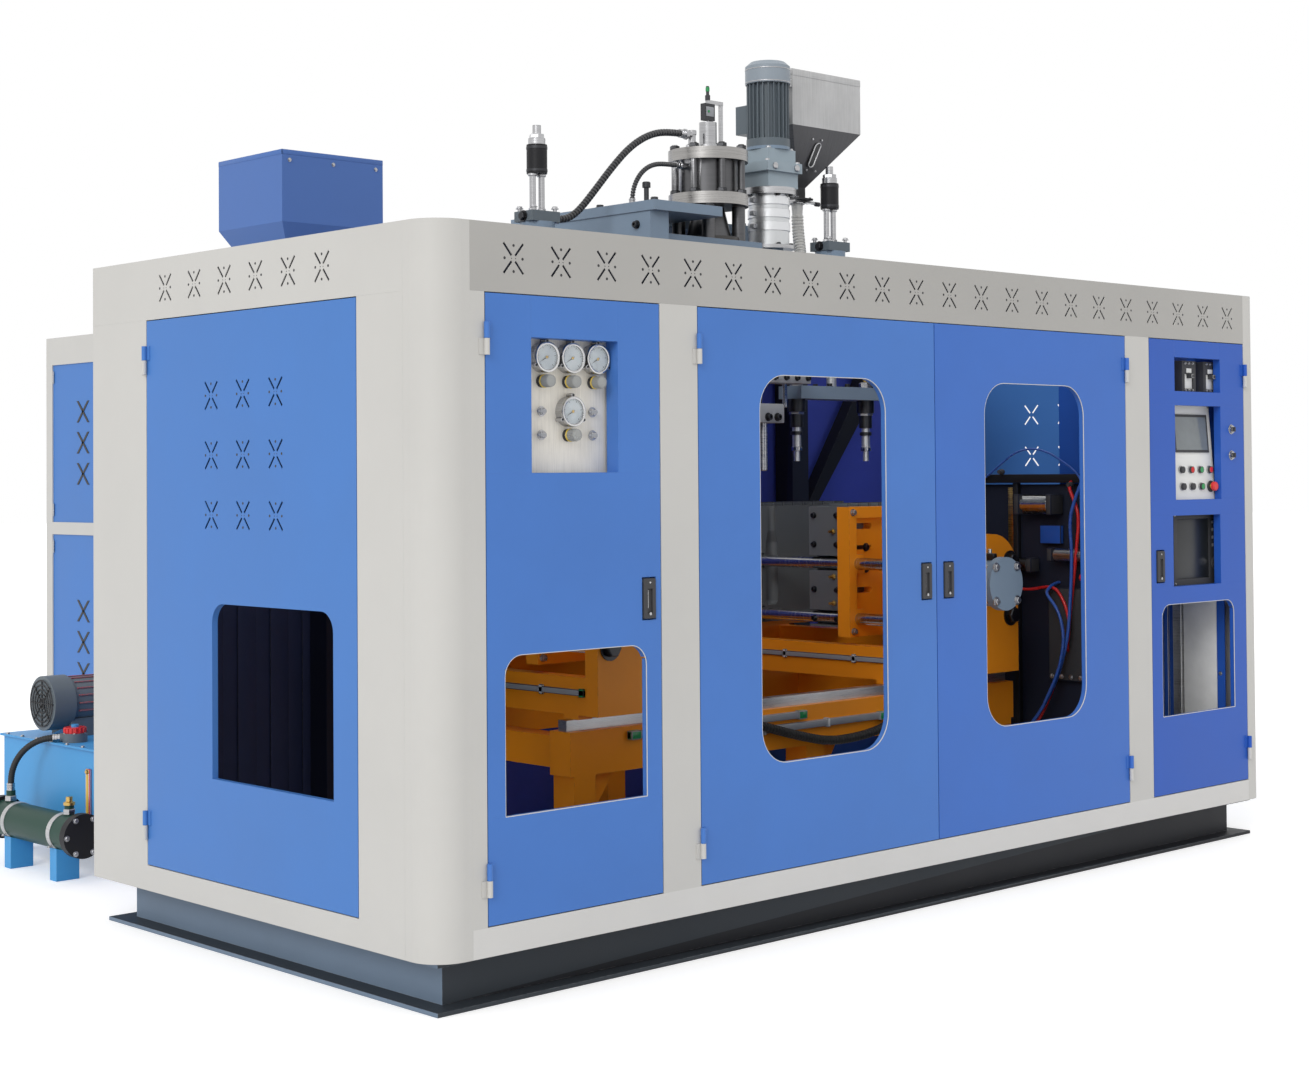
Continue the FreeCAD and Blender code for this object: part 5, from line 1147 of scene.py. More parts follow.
    def window_edge_highlights(self) -> None:
        """Add a pale strip round each front window, a painted highlight along its pane's bright edge."""
        for door, limits in self.windows.items():
            trim = Shape(door + "_window_edge_highlight")
            line = self.outline(*limits, y=1.2)
            trim.sweep(line, [self.highlight_radius] * len(line), PALE_PAINT_AND_EDGE_HIGHLIGHT, 8, closed=True)
            trim.build(door + "_door", "door_blue")

    def latch_trims(self) -> None:
        """Add the lock barrel, screws and steel pull strip of each handle."""
        for name in ("gauge", "left", "right", "control"):
            low, high = (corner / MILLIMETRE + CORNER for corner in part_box("handle_" + name))
            middle = (low.x + high.x) / 2
            trim = Shape(name + "_handle_trim")
            trim.rod((middle, low.y + 1.0, low.z + 14), FRONT, 5.0, 2.4, CHROME, 0.6, 18)
            trim.rod((middle, low.y + 1.0, high.z - 12), FRONT, 3.2, 2.0, STEEL, 0.6, 14)
            trim.box((middle - 8, low.y + 4.5, low.z + 30), (middle - 3, low.y + 6.4, high.z - 34), STEEL,
                     0.6)
            trim.build(name + "_handle", "black_plastic")

    def build(self) -> None:
        """Dress the enclosure and add its trims."""
        self.dress()
        self.perforations()
        self.window_edge_highlights()
        self.latch_trims()


@dataclass
class GaugePanel:
    """The pneumatic panel: gauges, regulator knobs and toggle valves."""

    places: tuple[Pair, ...] = ((430.0, 1782.0), (526.0, 1782.0), (622.0, 1782.0), (526.0, 1630.0))
    face_y: float = 30.0
    sheet_y: float = 60.0
    dial_radius: float = 36.0
    knob_drop: float = 67.0
    knob_radius: float = 17.0
    knob_front: float = 14.0
    flutes: int = 20
    toggles: tuple[Pair, ...] = ((430.0, 1630.0), (622.0, 1630.0), (430.0, 1563.0), (622.0, 1563.0))
    first_tick: float = 225.0
    sweep_angle: float = 270.0
    ticks: int = 26
    reading: float = 0.06

    def dress(self) -> None:
        """Finish the panel's frame nodes."""
        knobs = [(x, z - self.knob_drop) for x, z in self.places]
        zones = [Zone(CLEAR_PLASTIC, in_box((x - 18, x + 18), (10, 46), (z - 18, z + 18))) for x, z in knobs]
        zones += [Zone(GREY_PLASTIC, in_box((x - 24, x + 9), (30, 59), (z - 9, z + 9)))
                  for x, z in self.toggles]
        dress("gauge_panel", SHEET_STEEL, *zones)
        dress("pressure_gauges", STEEL, Zone(BLACK_PAINT, in_box(y=(31, 36))))

    @staticmethod
    def _rays(x: float, z: float, y: float, *ends: Pair) -> list[Point]:
        """Points on a dial, each at an angle from the right in degrees and a radius."""
        return [(x + far * math.cos(math.radians(turn)), y, z + far * math.sin(math.radians(turn)))
                for turn, far in ends]

    def _dial(self, shape: Shape, x: float, z: float) -> None:
        """Add bezel, lugs, face, scale, needle and hub of one gauge.

        Args:
            shape: The piece that they belong to.
            x: The gauge's middle along the front.
            z: Its middle's height.
        """
        y = self.face_y
        radius = self.dial_radius
        rim = radius + 8.4
        shape.lathe([(radius, 0.5), (radius, -2.5), (radius + 3, -4), (radius + 7, -3), (rim, 0.4), (rim, 5),
                     (radius, 5), (radius, 0.5)], (x, y, z), REAR, TURNED_Y, 44)
        shape.lathe([(0, 0), (radius, 0), (radius, 0.6), (0, 0.6)], (x, y + 4.2, z), REAR, DIAL_FACE, 36)
        for lug in self._rays(x, z, y + 1, *((90 + 120 * i, radius + 11) for i in range(3))):
            shape.rod(lug, REAR, 5.5, 26, STEEL, 0.8, 14)
            shape.bolt(lug, FRONT, 2.6, DARK_STEEL, BoltHead.SOCKET)
        for i in range(self.ticks):
            turn = self.first_tick - self.sweep_angle * i / (self.ticks - 1)
            inner, width = (radius - 8, 1.3) if i % 5 == 0 else (radius - 5, 0.7)
            mark = self._rays(x, z, y + 4.1, (turn - width, inner), (turn + width, inner),
                              (turn + width, radius - 2), (turn - width, radius - 2))
            shape.prism(mark, (0, -0.3, 0), INK_AND_HOLE_SHADE)
        turn = self.first_tick - self.sweep_angle * self.reading
        needle = self._rays(x, z, y + 2.6, (turn + 180, 9), (turn + 90, 1.6), (turn, radius - 7),
                            (turn - 90, 1.6))
        shape.prism(needle, (0, -0.7, 0), INK_AND_HOLE_SHADE)
        shape.lathe([(0, 0), (4.2, 0), (4.2, -1.6), (2.6, -2.6), (0, -2.6)], (x, y + 3.2, z), REAR, BRASS, 20)

    def _knob(self, shape: Shape, x: float, z: float) -> None:
        """Add grip flutes, cap and lock ring of one regulator knob.

        Args:
            shape: The piece that they belong to.
            x: The knob's middle along the front.
            z: Its middle's height.
        """
        y = self.knob_front
        for across, up in around(self.flutes, self.knob_radius):
            shape.rod((x + across, y + 3, z + up), REAR, 1.3, 22, CLEAR_PLASTIC, 0.5, 8)
        shape.lathe([(0, 0), (12, 0), (14, 1.2), (14, 2.5), (0, 2.5)], (x, y - 1.6, z), REAR, CLEAR_PLASTIC,
                    28)
        shape.ring((x, y + 28, z), REAR, self.knob_radius - 3, self.knob_radius + 2.2, 4, YELLOW_PLASTIC)
        shape.ring((x, self.sheet_y - 5, z), REAR, 12, 18, 5, BLACK_PLASTIC)

    def build(self) -> None:
        """Dress the panel and add the gauges, knobs, toggles and screws."""
        self.dress()
        dials = Shape("gauge_dials")
        glass = Shape("gauge_glasses")
        knobs = Shape("regulator_knobs")
        radius = self.dial_radius
        for x, z in self.places:
            self._dial(dials, x, z)
            glass.lathe([(0, 0), (radius, 0), (radius, 1.2), (radius - 2, 1.6), (0, 1.6)],
                        (x, self.face_y - 1.6, z), REAR, LENS, 36)
            self._knob(knobs, x, z - self.knob_drop)
        dials.build("machine", "gauge_face")
        glass.build("machine", "gauge_face")
        knobs.build("machine", "ribbed_plastic")
        toggles = Shape("toggle_valves")
        for x, z in self.toggles:
            toggles.bolt((x, self.sheet_y - 0.2, z), FRONT, 11, STEEL)
            toggles.rod((x - 21, self.sheet_y - 19, z), LEFT, 4.6, 8, GREY_PLASTIC, 1.5, 16)
            toggles.ring((x, self.sheet_y - 13, z), FRONT, 4, 8.6, 3, CHROME, 20)
        toggles.build("machine", "aluminium")
        screws = Shape("gauge_sheet_screws")
        screws.bolts((334, 526, 716), (self.sheet_y,), (1446, 1840), FRONT, 4.5, STEEL, BoltHead.SOCKET)
        screws.build("machine", "bright_steel")


@dataclass
class ControlStation:
    """Everything behind the control door's openings, and the cabinet that carries it."""

    breakers: tuple[float, ...] = (3648.0, 3798.0)
    panel_low: float = 1325.0
    panel_high: float = 1708.0
    panel_low_y: float = 32.0
    panel_top_y: float = 62.0
    button_columns: tuple[float, ...] = (3640.0, 3705.0, 3770.0, 3836.0)
    upper_row: float = 1453.0
    lower_row: float = 1388.0
    key_x: float = 3935.0
    key_heights: tuple[float, ...] = (1509.0, 1611.0)
    dial: Pair = (3885.0, 1085.0)
    dial_ridges: int = 24
    ridge_circle: float = 19.6

    def slope(self, z: float) -> float:
        """How far back the sloping operator panel is at a height."""
        share = (z - self.panel_low) / (self.panel_high - self.panel_low)
        return self.panel_low_y + share * (self.panel_top_y - self.panel_low_y)

    def dress(self) -> None:
        """Finish the control station's frame nodes."""
        dress("control_cabinet", DEEP_BLUE_AND_SHADED_DOOR_PAINT,
              Zone(PALE_PAINT_AND_EDGE_HIGHLIGHT, in_box((3389, 3990), (80, 419), (254, 984))))
        dress("control_devices", BLACK_PLASTIC, Zone(WHITE_PLASTIC, in_box(y=(40.5, 41.5), z=(1767, 1825))))
        dress("operator_panel", WHITE_PAINT)
        dress("panel_buttons", BLACK_PLASTIC)
        dress("emergency_stop", RED_PLASTIC, Zone(YELLOW_PLASTIC, in_box(y=(20.95, 60))))
        dress("screen_dial", CHROME)
        dress("key_switch_lower", BLACK_PLASTIC, Zone(CHROME, in_box(y=(-8.3, -0.2))))
        dress("key_switch_upper", BLACK_PLASTIC, Zone(CHROME, in_box(y=(-8.3, -0.2))))

    def _breakers(self) -> None:
        """Terminal screws, face plates and rails of the two breakers."""
        shape = Shape("breaker_faces")
        for x in self.breakers:
            shape.box((x + 19, 39.8, 1768), (x + 76, 41, 1824), WHITE_PLASTIC, 0.4)
            shape.box((x + 30, 34.3, 1829), (x + 65, 36, 1846), WHITE_PLASTIC, 0.6)
            shape.bolts((x + 22, x + 47.5, x + 73), (35.1,), (1762, 1866), FRONT, 3.6, STEEL, BoltHead.SOCKET)
            shape.box((x + 39, 16.4, 1809), (x + 56, 18, 1823), BLACK_PLASTIC, 0.8)
        shape.build("machine", "device_grey")

    def _operator(self) -> None:
        """Screen, button collars and caps of the operator panel."""
        shape = Shape("operator_controls")
        screen = ((3616, 1530), (3834, 1530), (3834, 1658), (3616, 1658))
        shape.prism([(x, self.slope(z) - 5.2, z) for x, z in screen], (0, -0.5, 0), SCREEN)
        upper = (BLACK_PLASTIC, RED_PAINT, GREEN_PLASTIC, RED_PLASTIC)
        lower = (BLACK_PLASTIC, BLACK_PLASTIC, GREEN_PLASTIC)
        for row, caps in ((self.upper_row, upper), (self.lower_row, lower)):
            for x, cap in zip(self.button_columns, caps):
                y = self.slope(row)
                shape.ring((x, y - 5, row), REAR, 12.6, 15.5, 5, STEEL)
                shape.lathe([(0, -0.9), (8, -0.6), (11.6, 0.4), (12.2, 2.2), (12.2, 4), (0, 4)],
                            (x, y - 14.6, row), REAR, cap, 24)
        for z in (1335, 1698):
            shape.bolts((3588, 3864), (self.slope(z),), (z,), FRONT, 3.6, STEEL, BoltHead.SOCKET)
        y = self.slope(self.lower_row)
        shape.ring((self.button_columns[3], y - 8, self.lower_row), REAR, 12, 22, 6, BLACK_PLASTIC)
        shape.build("machine", "button_plastic")

    def _screen_unit(self) -> None:
        """Glass, soft keys and dial collar of the parison controller."""
        shape = Shape("controller_front")
        x, z = self.dial
        shape.box((3623, 55.2, 1031), (3849, 56.2, 1261), DARK_SCREEN, 0.3)
        for low in range(1240, 1120, -30):
            shape.box((3862, 47.6, low), (3878, 50.4, low + 14), GREY_PLASTIC, 1.2)
        shape.ring((x, 45, z), REAR, 21, 27, 5, BLACK_PLASTIC)
        shape.bolts((3608, 3917), (50.2,), (1013, 1277), FRONT, 3.2, STEEL, BoltHead.SOCKET)
        shape.build("machine", "black_plastic")
        knurl = Shape("dial_knurl")
        for across, up in around(self.dial_ridges, self.ridge_circle):
            knurl.rod((x + across, 30.5, z + up), REAR, 1.2, 16, CHROME, 0.4, 8)
        knurl.build("dial", "aluminium")

    def _keys(self) -> None:
        """A chrome collar round each key switch."""
        shape = Shape("key_switch_collars")
        for z in self.key_heights:
            shape.ring((self.key_x, -2.6, z), REAR, 15.6, 19, 2.6, CHROME)
        shape.build("control_door", "bright_steel")

    def _wiring_bay(self) -> None:
        """Cable duct, terminal strip and cabinet screws seen through the lower window."""
        shape = Shape("wiring_bay")
        shape.box((3700, 250, 300), (3722, 300, 980), BLACK_PLASTIC, 2)
        for z in range(320, 970, 25):
            shape.box((3698, 252, z), (3700, 298, z + 9), GREY_PLASTIC, 0.5)
        shape.box((3470, 404, 420), (3640, 416, 800), GREY_PLASTIC, 2)
        for i in range(12):
            shape.box((3480 + 12.6 * i, 380, 560), (3490 + 12.6 * i, 404, 620), WHITE_PLASTIC, 1)
        shape.bolts((3992,), (96,), (340, 640, 940), LEFT, 6, STEEL)
        shape.build("machine", "device_grey")

    def build(self) -> None:
        """Dress the control station and add its fronts."""
        self.dress()
        self._breakers()
        self._operator()
        self._screen_unit()
        self._keys()
        self._wiring_bay()


@dataclass
class MouldStation:
    """One mould station: carriage, platens, mould halves and blow pins."""

    side: str
    x: float
    half: float = 320.0
    middle_y: float = 1100.0
    platen_front: float = 730.0
    mould_front: float = 790.0
    mould_face: float = 960.0
    mould_half: float = 290.0
    platen_top: float = 1323.0
    pin_spread: float = 407.0
    carrier_low: float = 1740.0
    carrier_top: float = 1790.0
    foot_top: float = 2364.0
    collar_z: Pair = (2497.0, 2598.0)

    def mirrored(self, y: float) -> float:
        """The same place on the rear half."""
        return 2 * self.middle_y - y

    def dress(self) -> None:
        """Finish the station's frame nodes."""
        side, x = self.side, self.x
        dress("carriage_" + side, LIGHTENED_ORANGE_PAINT, Zone(SLATE_PAINT, in_box(y=(200, 439), z=(900, 1200))))
        dress("tie_bars_" + side, TURNED_Y)
        for place in ("front", "rear"):
            dress(f"{place}_platen_{side}", LIGHTENED_ORANGE_PAINT,
                  Zone(TURNED_Y, in_box((x - 60, x + 60), (290, 728))))
            dress(f"{place}_mould_{side}", MOULD_STEEL)
        dress("blow_pins_" + side, TURNED,
              Zone(SLATE_PAINT, in_box(z=(self.carrier_low, self.carrier_top + 1))),
              Zone(DARK_STEEL, in_box(z=(1628, self.carrier_low))))

    def _mould(self, place: str, body: str) -> None:
        """Add bolts, water nipples and cooling fins of one mould half.

        Args:
            place: Front or rear.
            body: The body that carries the half.
        """
        shape = Shape(f"{self.side}_{place}_mould_fittings")
        rows = (self.mould_front + 28, self.mould_face - 26)
        water = self.mould_front + 45
        low, high = self.mould_front + 14, self.mould_face - 60
        if place == "rear":
            rows = tuple(self.mirrored(y) for y in rows)
            water = self.mirrored(water)
            low, high = self.mirrored(self.mould_face) + 14, self.mirrored(self.mould_front) - 14
        for sign in (-1, 1):
            edge = self.x + sign * self.mould_half
            out = (sign, 0, 0)
            shape.bolts((edge,), rows, (900, 1010, 1180, 1290), out, 9, DARK_STEEL, BoltHead.SOCKET)
            for z in (960, 1060, 1230):
                shape.bolt((edge - sign * 2, water, z), out, 10, BRASS)
                shape.lathe([(0, 0), (5, 0), (5, 6), (6.2, 8), (5, 12), (6.2, 14), (4.4, 20), (0, 20)],
                            (edge + sign * 8, water, z), out, BRASS, 16)
        for i in range(9):
            x = self.x - 236 + i * 59
            shape.box((x - 6, low, self.platen_top - 1), (x + 6, high, self.platen_top + 14), MOULD_STEEL,
                      1.5)
        shape.build(body, "mould_steel")

    def _platen(self, place: str, body: str) -> None:
        """Add clamp screws in a platen's slots and the nuts at its corners.

        Args:
            place: Front or rear.
            body: The body that carries the platen.
        """
        shape = Shape(f"{self.side}_{place}_platen_screws")
        face = self.platen_front if place == "front" else self.mirrored(self.platen_front)
        way = -1 if place == "front" else 1
        out = (0, way, 0)
        far = self.half - 21
        shape.bolts((self.x - 203, self.x + 227), (face - way * 22,), (1170, 1090), out, 12, DARK_STEEL)
        shape.bolts((self.x - far, self.x + far), (face,), (859, 1302), out, 10, STEEL, BoltHead.SOCKET)
        shape.build(body, "bright_steel")

    def _carriage(self) -> None:
        """Tie bar nuts, clamp cylinder rods and linear sensors."""
        shape = Shape(self.side + "_carriage_fittings")
        for y, way in ((440, FRONT), (1700, REAR)):
            shape.bolts((self.x - 270, self.x + 270), (y,), (905, 1110), way, 30, DARK_STEEL)
        for across, up in around(4, 88, 45):
            x, z = self.x + across, 1040 + up
            shape.rod((x, 252, z), REAR, 8, 186, TURNED_Y, 1.0, 14)
            shape.bolt((x, 250, z), FRONT, 13, STEEL)
        shape.box((self.x - 12, 300, 1122), (self.x + 12, 352, 1150), DARK_STEEL, 3)
        shape.rod((self.x, 326, 1150), UP, 9, 16, STEEL)
        for sign in (-1, 1):
            edge = self.x + sign * self.half
            inner, outer = sorted((edge, edge + sign * 9))
            shape.box((inner, 500, 752), (outer, 1620, 772), GREY_PLASTIC, 2)
            for y in (500, 1596):
                shape.box((inner, y, 748), (outer, y + 24, 776), GREEN_PLASTIC, 2)
            for y in (700, 1050, 1400):
                shape.box((inner, y, 746), (outer, y + 18, 778), WHITE_PLASTIC, 2)
        shape.build(self.side + "_carriage", "sensor_grey")

    def _pins(self) -> None:
        """Collars, nuts and air nipples on the blow pins and their carrier."""
        shape = Shape(self.side + "_pin_fittings")
        y, top = self.middle_y, self.carrier_top
        for x in (self.x - self.pin_spread / 2, self.x + self.pin_spread / 2):
            shape.ring((x, y, 1538), UP, 15, 20.5, 16, CHROME)
            shape.ring((x, y, 1600), UP, 16, 24, 14, DARK_STEEL)
            shape.lathe([(16, 0), (30, 0), (30, 16), (16, 16)], (x, y, 1680), UP, STEEL, 6)
            shape.nut((x, y, top), UP, 0, 26, 24, STEEL, (4, 4))
            shape.rod((x, y, top + 20), UP, 9, 30, BRASS)
        shape.bolts((self.x - 52, self.x + 52), (y - 38, y + 38), (top,), UP, 10, DARK_STEEL, BoltHead.SOCKET)
        shape.build(self.side + "_pins", "turned_steel")

    def _cylinder_top(self) -> None:
        """Nuts, washers and port fittings above the blow pin cylinder."""
        shape = Shape(self.side + "_cylinder_top")
        x, y = self.x, self.middle_y
        low, high = self.collar_z
        for rod_x in (x - 20, x + 20):
            shape.bolt((rod_x, y, self.foot_top), UP, 15, STEEL)
            shape.ring((rod_x, y, low - 9), UP, 11, 16, 9, STEEL)
        shape.bolts((x - 48, x + 48), (y - 38, y + 38), (self.foot_top + 10,), UP, 10, STEEL)
        for z in (low + 6, high - 16):
            shape.ring((x, y, z), UP, 35, 37.2, 10, DARK_STEEL)
        shape.nut((x, y, high + 22), UP, 15, 27, 15, STEEL, (2, 3))
        shape.bolt((x - 62, y, 2346), LEFT, 15, DARK_STEEL)
        shape.build("machine", "turned_steel")

    def build(self) -> None:
        """Dress the station and add its fittings."""
        self.dress()
        self._mould("front", self.side + "_front_clamp")
        self._mould("rear", self.side + "_rear_clamp")
        self._platen("front", self.side + "_front_clamp")
        self._platen("rear", self.side + "_rear_clamp")
        self._carriage()
        self._pins()
        self._cylinder_top()


@dataclass
class HeadTower:
    """Machine frame, head beams, die head, colour extruder, hopper and hoses on top."""

    x: float = 2134.0
    y: float = 1100.0
    flange_radius: float = 150.0
    flange_top: float = 2658.0
    flange_low: float = 2448.0
    flange_thick: float = 44.0
    plate_top: float = 2422.0
    colour_x: float = 2461.0
    motor_crown: float = 3036.0
    gate: Pair = (2735.0, 1205.0)
    hopper: tuple[float, float, float, float] = (2600.0, 3000.0, 1100.0, 1310.0)
    hopper_bend: float = 2814.0
    hopper_top: float = 3033.0
    outlet_front: float = 1170.0
    outlet_z: float = 2585.0

    def dress(self) -> None:
        """Finish the top's frame nodes."""
        x, y = self.x, self.y
        # The machine frame below the head beams is painted shade.
        dress("machine_frame", SLATE_PAINT, Zone(BLACK_PAINT, in_box(y=(1705, 1775), z=(1100, 2028))),
              Zone(SHADE_PAINT, in_box(z=(140, 2029))))
        dress("slide_bed", LIGHTENED_ORANGE_PAINT, Zone(STEEL, in_box(z=(640.5, 680))))
        dress("head_beams", SLATE_PAINT)
        dress("pin_cylinders", SLATE_PAINT,
              Zone(CHROME, in_box(z=(2365, 2496))),
              Zone(BLACK_PAINT, in_box(z=(2496.5, 2599))),
              Zone(STEEL, in_box(z=(2599.5, 2700))),
              Zone(MOTOR_PAINT, in_box(z=(2327, 2364.5))))
        rims = [(self.flange_low, self.flange_low + self.flange_thick),
                (self.flange_top - self.flange_thick, self.flange_top)]
        dress("die_head", HEAD_STEEL,
              *[Zone(RIM_STEEL, near_axis(x, y, 151, (low + 1, high - 1))) for low, high in rims],
              Zone(CHROME, near_axis(x, y, 34, (self.flange_top + 1, 2790))),
              Zone(STEEL, in_box((1900, x - 60), (1040, 1160), (2570, 2760))),
              Zone(MID_STEEL, near_axis(x, y, 160, (2330, 2640))))
        dress("position_sensor", STEEL, Zone(BLACK_PLASTIC, in_box((2105, 2163), None, (2774, 2839))),
              Zone(BLACK_PLASTIC, in_box(z=(2853, 2910))))
        dress("colour_extruder", SLATE_PAINT, Zone(GEAR_PAINT, in_box(z=(2545.5, 2694))),
              Zone(STEEL, near_axis(self.colour_x, y, 110, (2300, 2326))),
              Zone(STEEL, near_axis(self.colour_x, y, 110, (2518, 2546))),
              Zone(TURNED, near_axis(self.colour_x, y, 79, (2326, 2518))))
        dress("colour_motor", MOTOR_PAINT, Zone(COWL_PAINT, in_box(z=(2949, 3040))))
        # The hopper's lower cone takes the darker steel, painted shade.
        dress("colour_hopper", STAINLESS, Zone(HOPPER_SHADE, in_box(z=(2500, self.hopper_bend - 2))))
        dress("hopper_gate", STEEL, Zone(BLACK_PLASTIC, in_box((2842, 2900))))
        dress("main_extruder", DARK_STEEL, Zone(ALUMINIUM, in_box(y=(1340, 3250))))

    def _head(self) -> None:
        """Nuts, oil elbow, heater band and terminal box of the die head."""
        shape = Shape("die_head_fittings")
        x, y = self.x, self.y
        for across, along in around(8, self.flange_radius - 16, 22.5):
            for z in (self.flange_top, self.flange_low + self.flange_thick):
                shape.nut((x + across, y + along, z), UP, 11, 19, 14.5, DARK_STEEL, (2, 2.5))
        shape.ring((x, y, self.flange_top), UP, 33, 58, 14, STEEL)
        shape.ring((x, y, self.flange_top + 14), UP, 33, 44, 10, STEEL)
        shape.nut((x - 84, y, self.flange_top), UP, 14, 24, 19, STEEL)
        shape.rod((x - 84, y, 2712), UP, 17, 17, STEEL)
        for port, z, size in ((2012, 2712, 13), (1992, 2592, 9)):
            shape.nut((port - 3, y, z), RIGHT, 0, size + 7, 16, STEEL, (3, 2))
            shape.ferrule((port, y, z), LEFT, size)
        shape.ferrule((1358, y, 2346), RIGHT, 13)
        shape.ferrule((1745, y, self.plate_top), UP, 9)
        for z in (1720, 1860, 2060, 2200):
            shape.ring((x, y, z), UP, 109, 118, 62, ALUMINIUM)
            shape.box((x - 142, y - 22, z + 10), (x - 114, y + 22, z + 52), GREY_PLASTIC, 3)
        shape.build("machine", "head_steel")

    def _plates(self) -> None:
        """Bolts along the head plates, and the loose lifting screw that stands on them."""
        shape = Shape("head_plate_bolts")
        for x, y in ((1700, 935), (1975, 935), (1700, 1225), (1700, 1660), (2505, 1285), (2505, 1660),
                     (2090, 1290), (2300, 1290), (2090, 1660)):
            shape.bolt((x, y, self.plate_top), UP, 14, DARK_STEEL)
        shape.lathe([(0, 0), (21, 0), (21, 4), (9, 5), (9, 62), (15, 62), (15, 80), (12, 83), (0, 83)],
                    (1760, 1040, self.plate_top), UP, DARK_STEEL, 18)
        shape.bolts((1236, 1356, 2751, 2871), (960, 1700), (2180,), UP, 12, DARK_STEEL)
        shape.bolts((1675,), (1000, 1500), (2180, 2340), LEFT, 12, DARK_STEEL, BoltHead.SOCKET)
        shape.build("machine", "bright_steel")

    def _colour_drive(self) -> None:
        """Case bolts and eye of the gear case, and the motor's grille and clamps."""
        shape = Shape("colour_drive_fittings")
        x, y = self.colour_x, self.y
        for across, along, z, way in ((84, 74, 2641, UP), (62, 60, 2693, UP), (72, 62, 2545, DOWN)):
            shape.bolts((x - across, x + across), (y - along, y + along), (z,), way, 9, STEEL)
        for across, along in around(8, 90, 22.5):
            shape.bolt((x + across, y + along, 2325), UP, 8, DARK_STEEL)
            shape.bolt((x + across, y + along, 2519), DOWN, 8, DARK_STEEL)
        for i in range(5):
            shape.ring((x, y, self.motor_crown - 4 * i), UP, 20 + 10 * i, 24 + 10 * i, 3, DARK_STEEL)
        for z in (2952, 3002):
            shape.ring((x, y, z), UP, 86, 88.4, 4, STEEL)
        for eye in (x - 60, x + 60):
            shape.lathe([(0, 0), (13, 0), (13, 5), (8, 8), (0, 8)], (eye, y - 92, 2622), FRONT, STEEL, 20)
        for z in (2380, 2430, 2480):
            shape.ring((x, y, z), UP, 77, 82, 34, ALUMINIUM)
            shape.box((x - 96, y - 12, z + 8), (x - 78, y + 12, z + 26), GREY_PLASTIC, 2)
        shape.build("machine", "motor_blue_grey")

    def _hopper(self) -> None:
        """Lid rim, lifting ring, sight slot and screws of the colour hopper."""
        shape = Shape("colour_hopper_fittings")
        x0, x1, y0, y1 = self.hopper
        top = self.hopper_top
        rim = 1.6
        for left, right, near, far in ((x0, x1, y0 - rim, y0), (x0 - rim, x0, y0, y1), (x1, x1 + rim, y0, y1),
                                       (x0, x1, y1, y1 + rim)):
            shape.box((left, near, top - 26), (right, far, top - 1), STAINLESS, 0.5)
        fall = Vector((0, self.outlet_front - y0, self.outlet_z - self.hopper_bend)).normalized()
        out = Vector(RIGHT).cross(fall).normalized()
        out = out if out.y < 0 else -out
        centre = Vector((x0 + 158, y0, self.hopper_bend)) + fall * 108 + out * 1.5
        line = []
        for i in range(24):
            turn = math.tau * (i + 0.5) / 24
            rise = math.copysign(34, math.sin(turn)) + 15 * math.sin(turn)
            line.append(centre + fall * rise + Vector((15 * math.cos(turn) - 0.25 * rise, 0, 0)))
        shape.sweep(line, [3.0] * len(line), STEEL, 8, closed=True)
        shape.prism([tuple(p) for p in line], tuple(out * 0.8), DARK_SCREEN)
        for across, along in product((-26.0, 26.0), (-62, 62)):
            place = centre + Vector((across, 0, 0)) + fall * along - out * 1.5
            shape.bolt(tuple(place), tuple(out), 3.4, STEEL)
        eye = [Vector((x0 - 9, y0 + 62 + along, top - 46 + up)) for along, up in around(24, 22)]
        shape.sweep(eye, [3.2] * len(eye), CHROME, 10, closed=True)
        shape.rod((x0 - 14, y0 + 62, top - 24), RIGHT, 7, 14, STEEL)
        x, y = self.gate
        for z in (2520.5, 2536):
            shape.ring((x, y, z), UP, 30, 38, 5, CHROME)
        shape.box((x - 43, y - 15, 2518), (x - 35, y + 15, 2546), CHROME, 2)
        shape.bolts((x0,), (y0 + 22, y1 - 22), (self.hopper_bend + 22, top - 45), LEFT, 5, STEEL)
        shape.bolts((x - 36, x + 36), (y - 36, y + 36), (2543,), UP, 5, STEEL)
        shape.build("machine", "stainless")

    def _sensor(self) -> None:
        """Indicator, connector and probe tip of the position sensor."""
        shape = Shape("position_sensor_fittings")
        x, y = self.x, self.y
        shape.box((x - 20, y - 13.2, 2790), (x + 20, y - 11.6, 2826), GREY_PLASTIC, 0.6)
        shape.rod((x - 8, y - 12.8, 2808), FRONT, 5, 3, GREEN_PLASTIC, 1.0, 16)
        shape.nut((x, y, 2852), UP, 6, 10, 20, BLACK_PLASTIC, (2, 2))
        shape.rod((x, y, 2884), UP, 7.5, 18, GREEN_PLASTIC, 2.0, 18)
        shape.build("machine", "sensor_grey")

    def _guides(self) -> None:
        """Conduits, valve blocks and lamps inside the enclosure's top."""
        shape = Shape("inner_services")
        for x in (960, 3180):
            shape.box((x, 905, 1560), (x + 60, 929, 1980), GREY_PLASTIC, 3)
        for i in range(4):
            low = 1010 + i * 70
            shape.box((low, 985, 1880), (low + 54, 1040, 2000), ALUMINIUM, 3)
            shape.box((low + 8, 960, 1900), (low + 46, 985, 1975), BLACK_PLASTIC, 3)
            shape.bolt((low + 27, 1012, 1880), DOWN, 10, BRASS)
        shape.box((1000, 982, 2000), (1290, 1045, 2030), SLATE_PAINT, 3)
        for i in range(3):
            y = 1560 + 40 * i
            line = [Vector((940, y, 1990 - 60 * j)) for j in range(16)]
            shape.sweep(line, [9.0] * len(line), RUBBER, 10)
        shape.build("machine", "black_plastic")

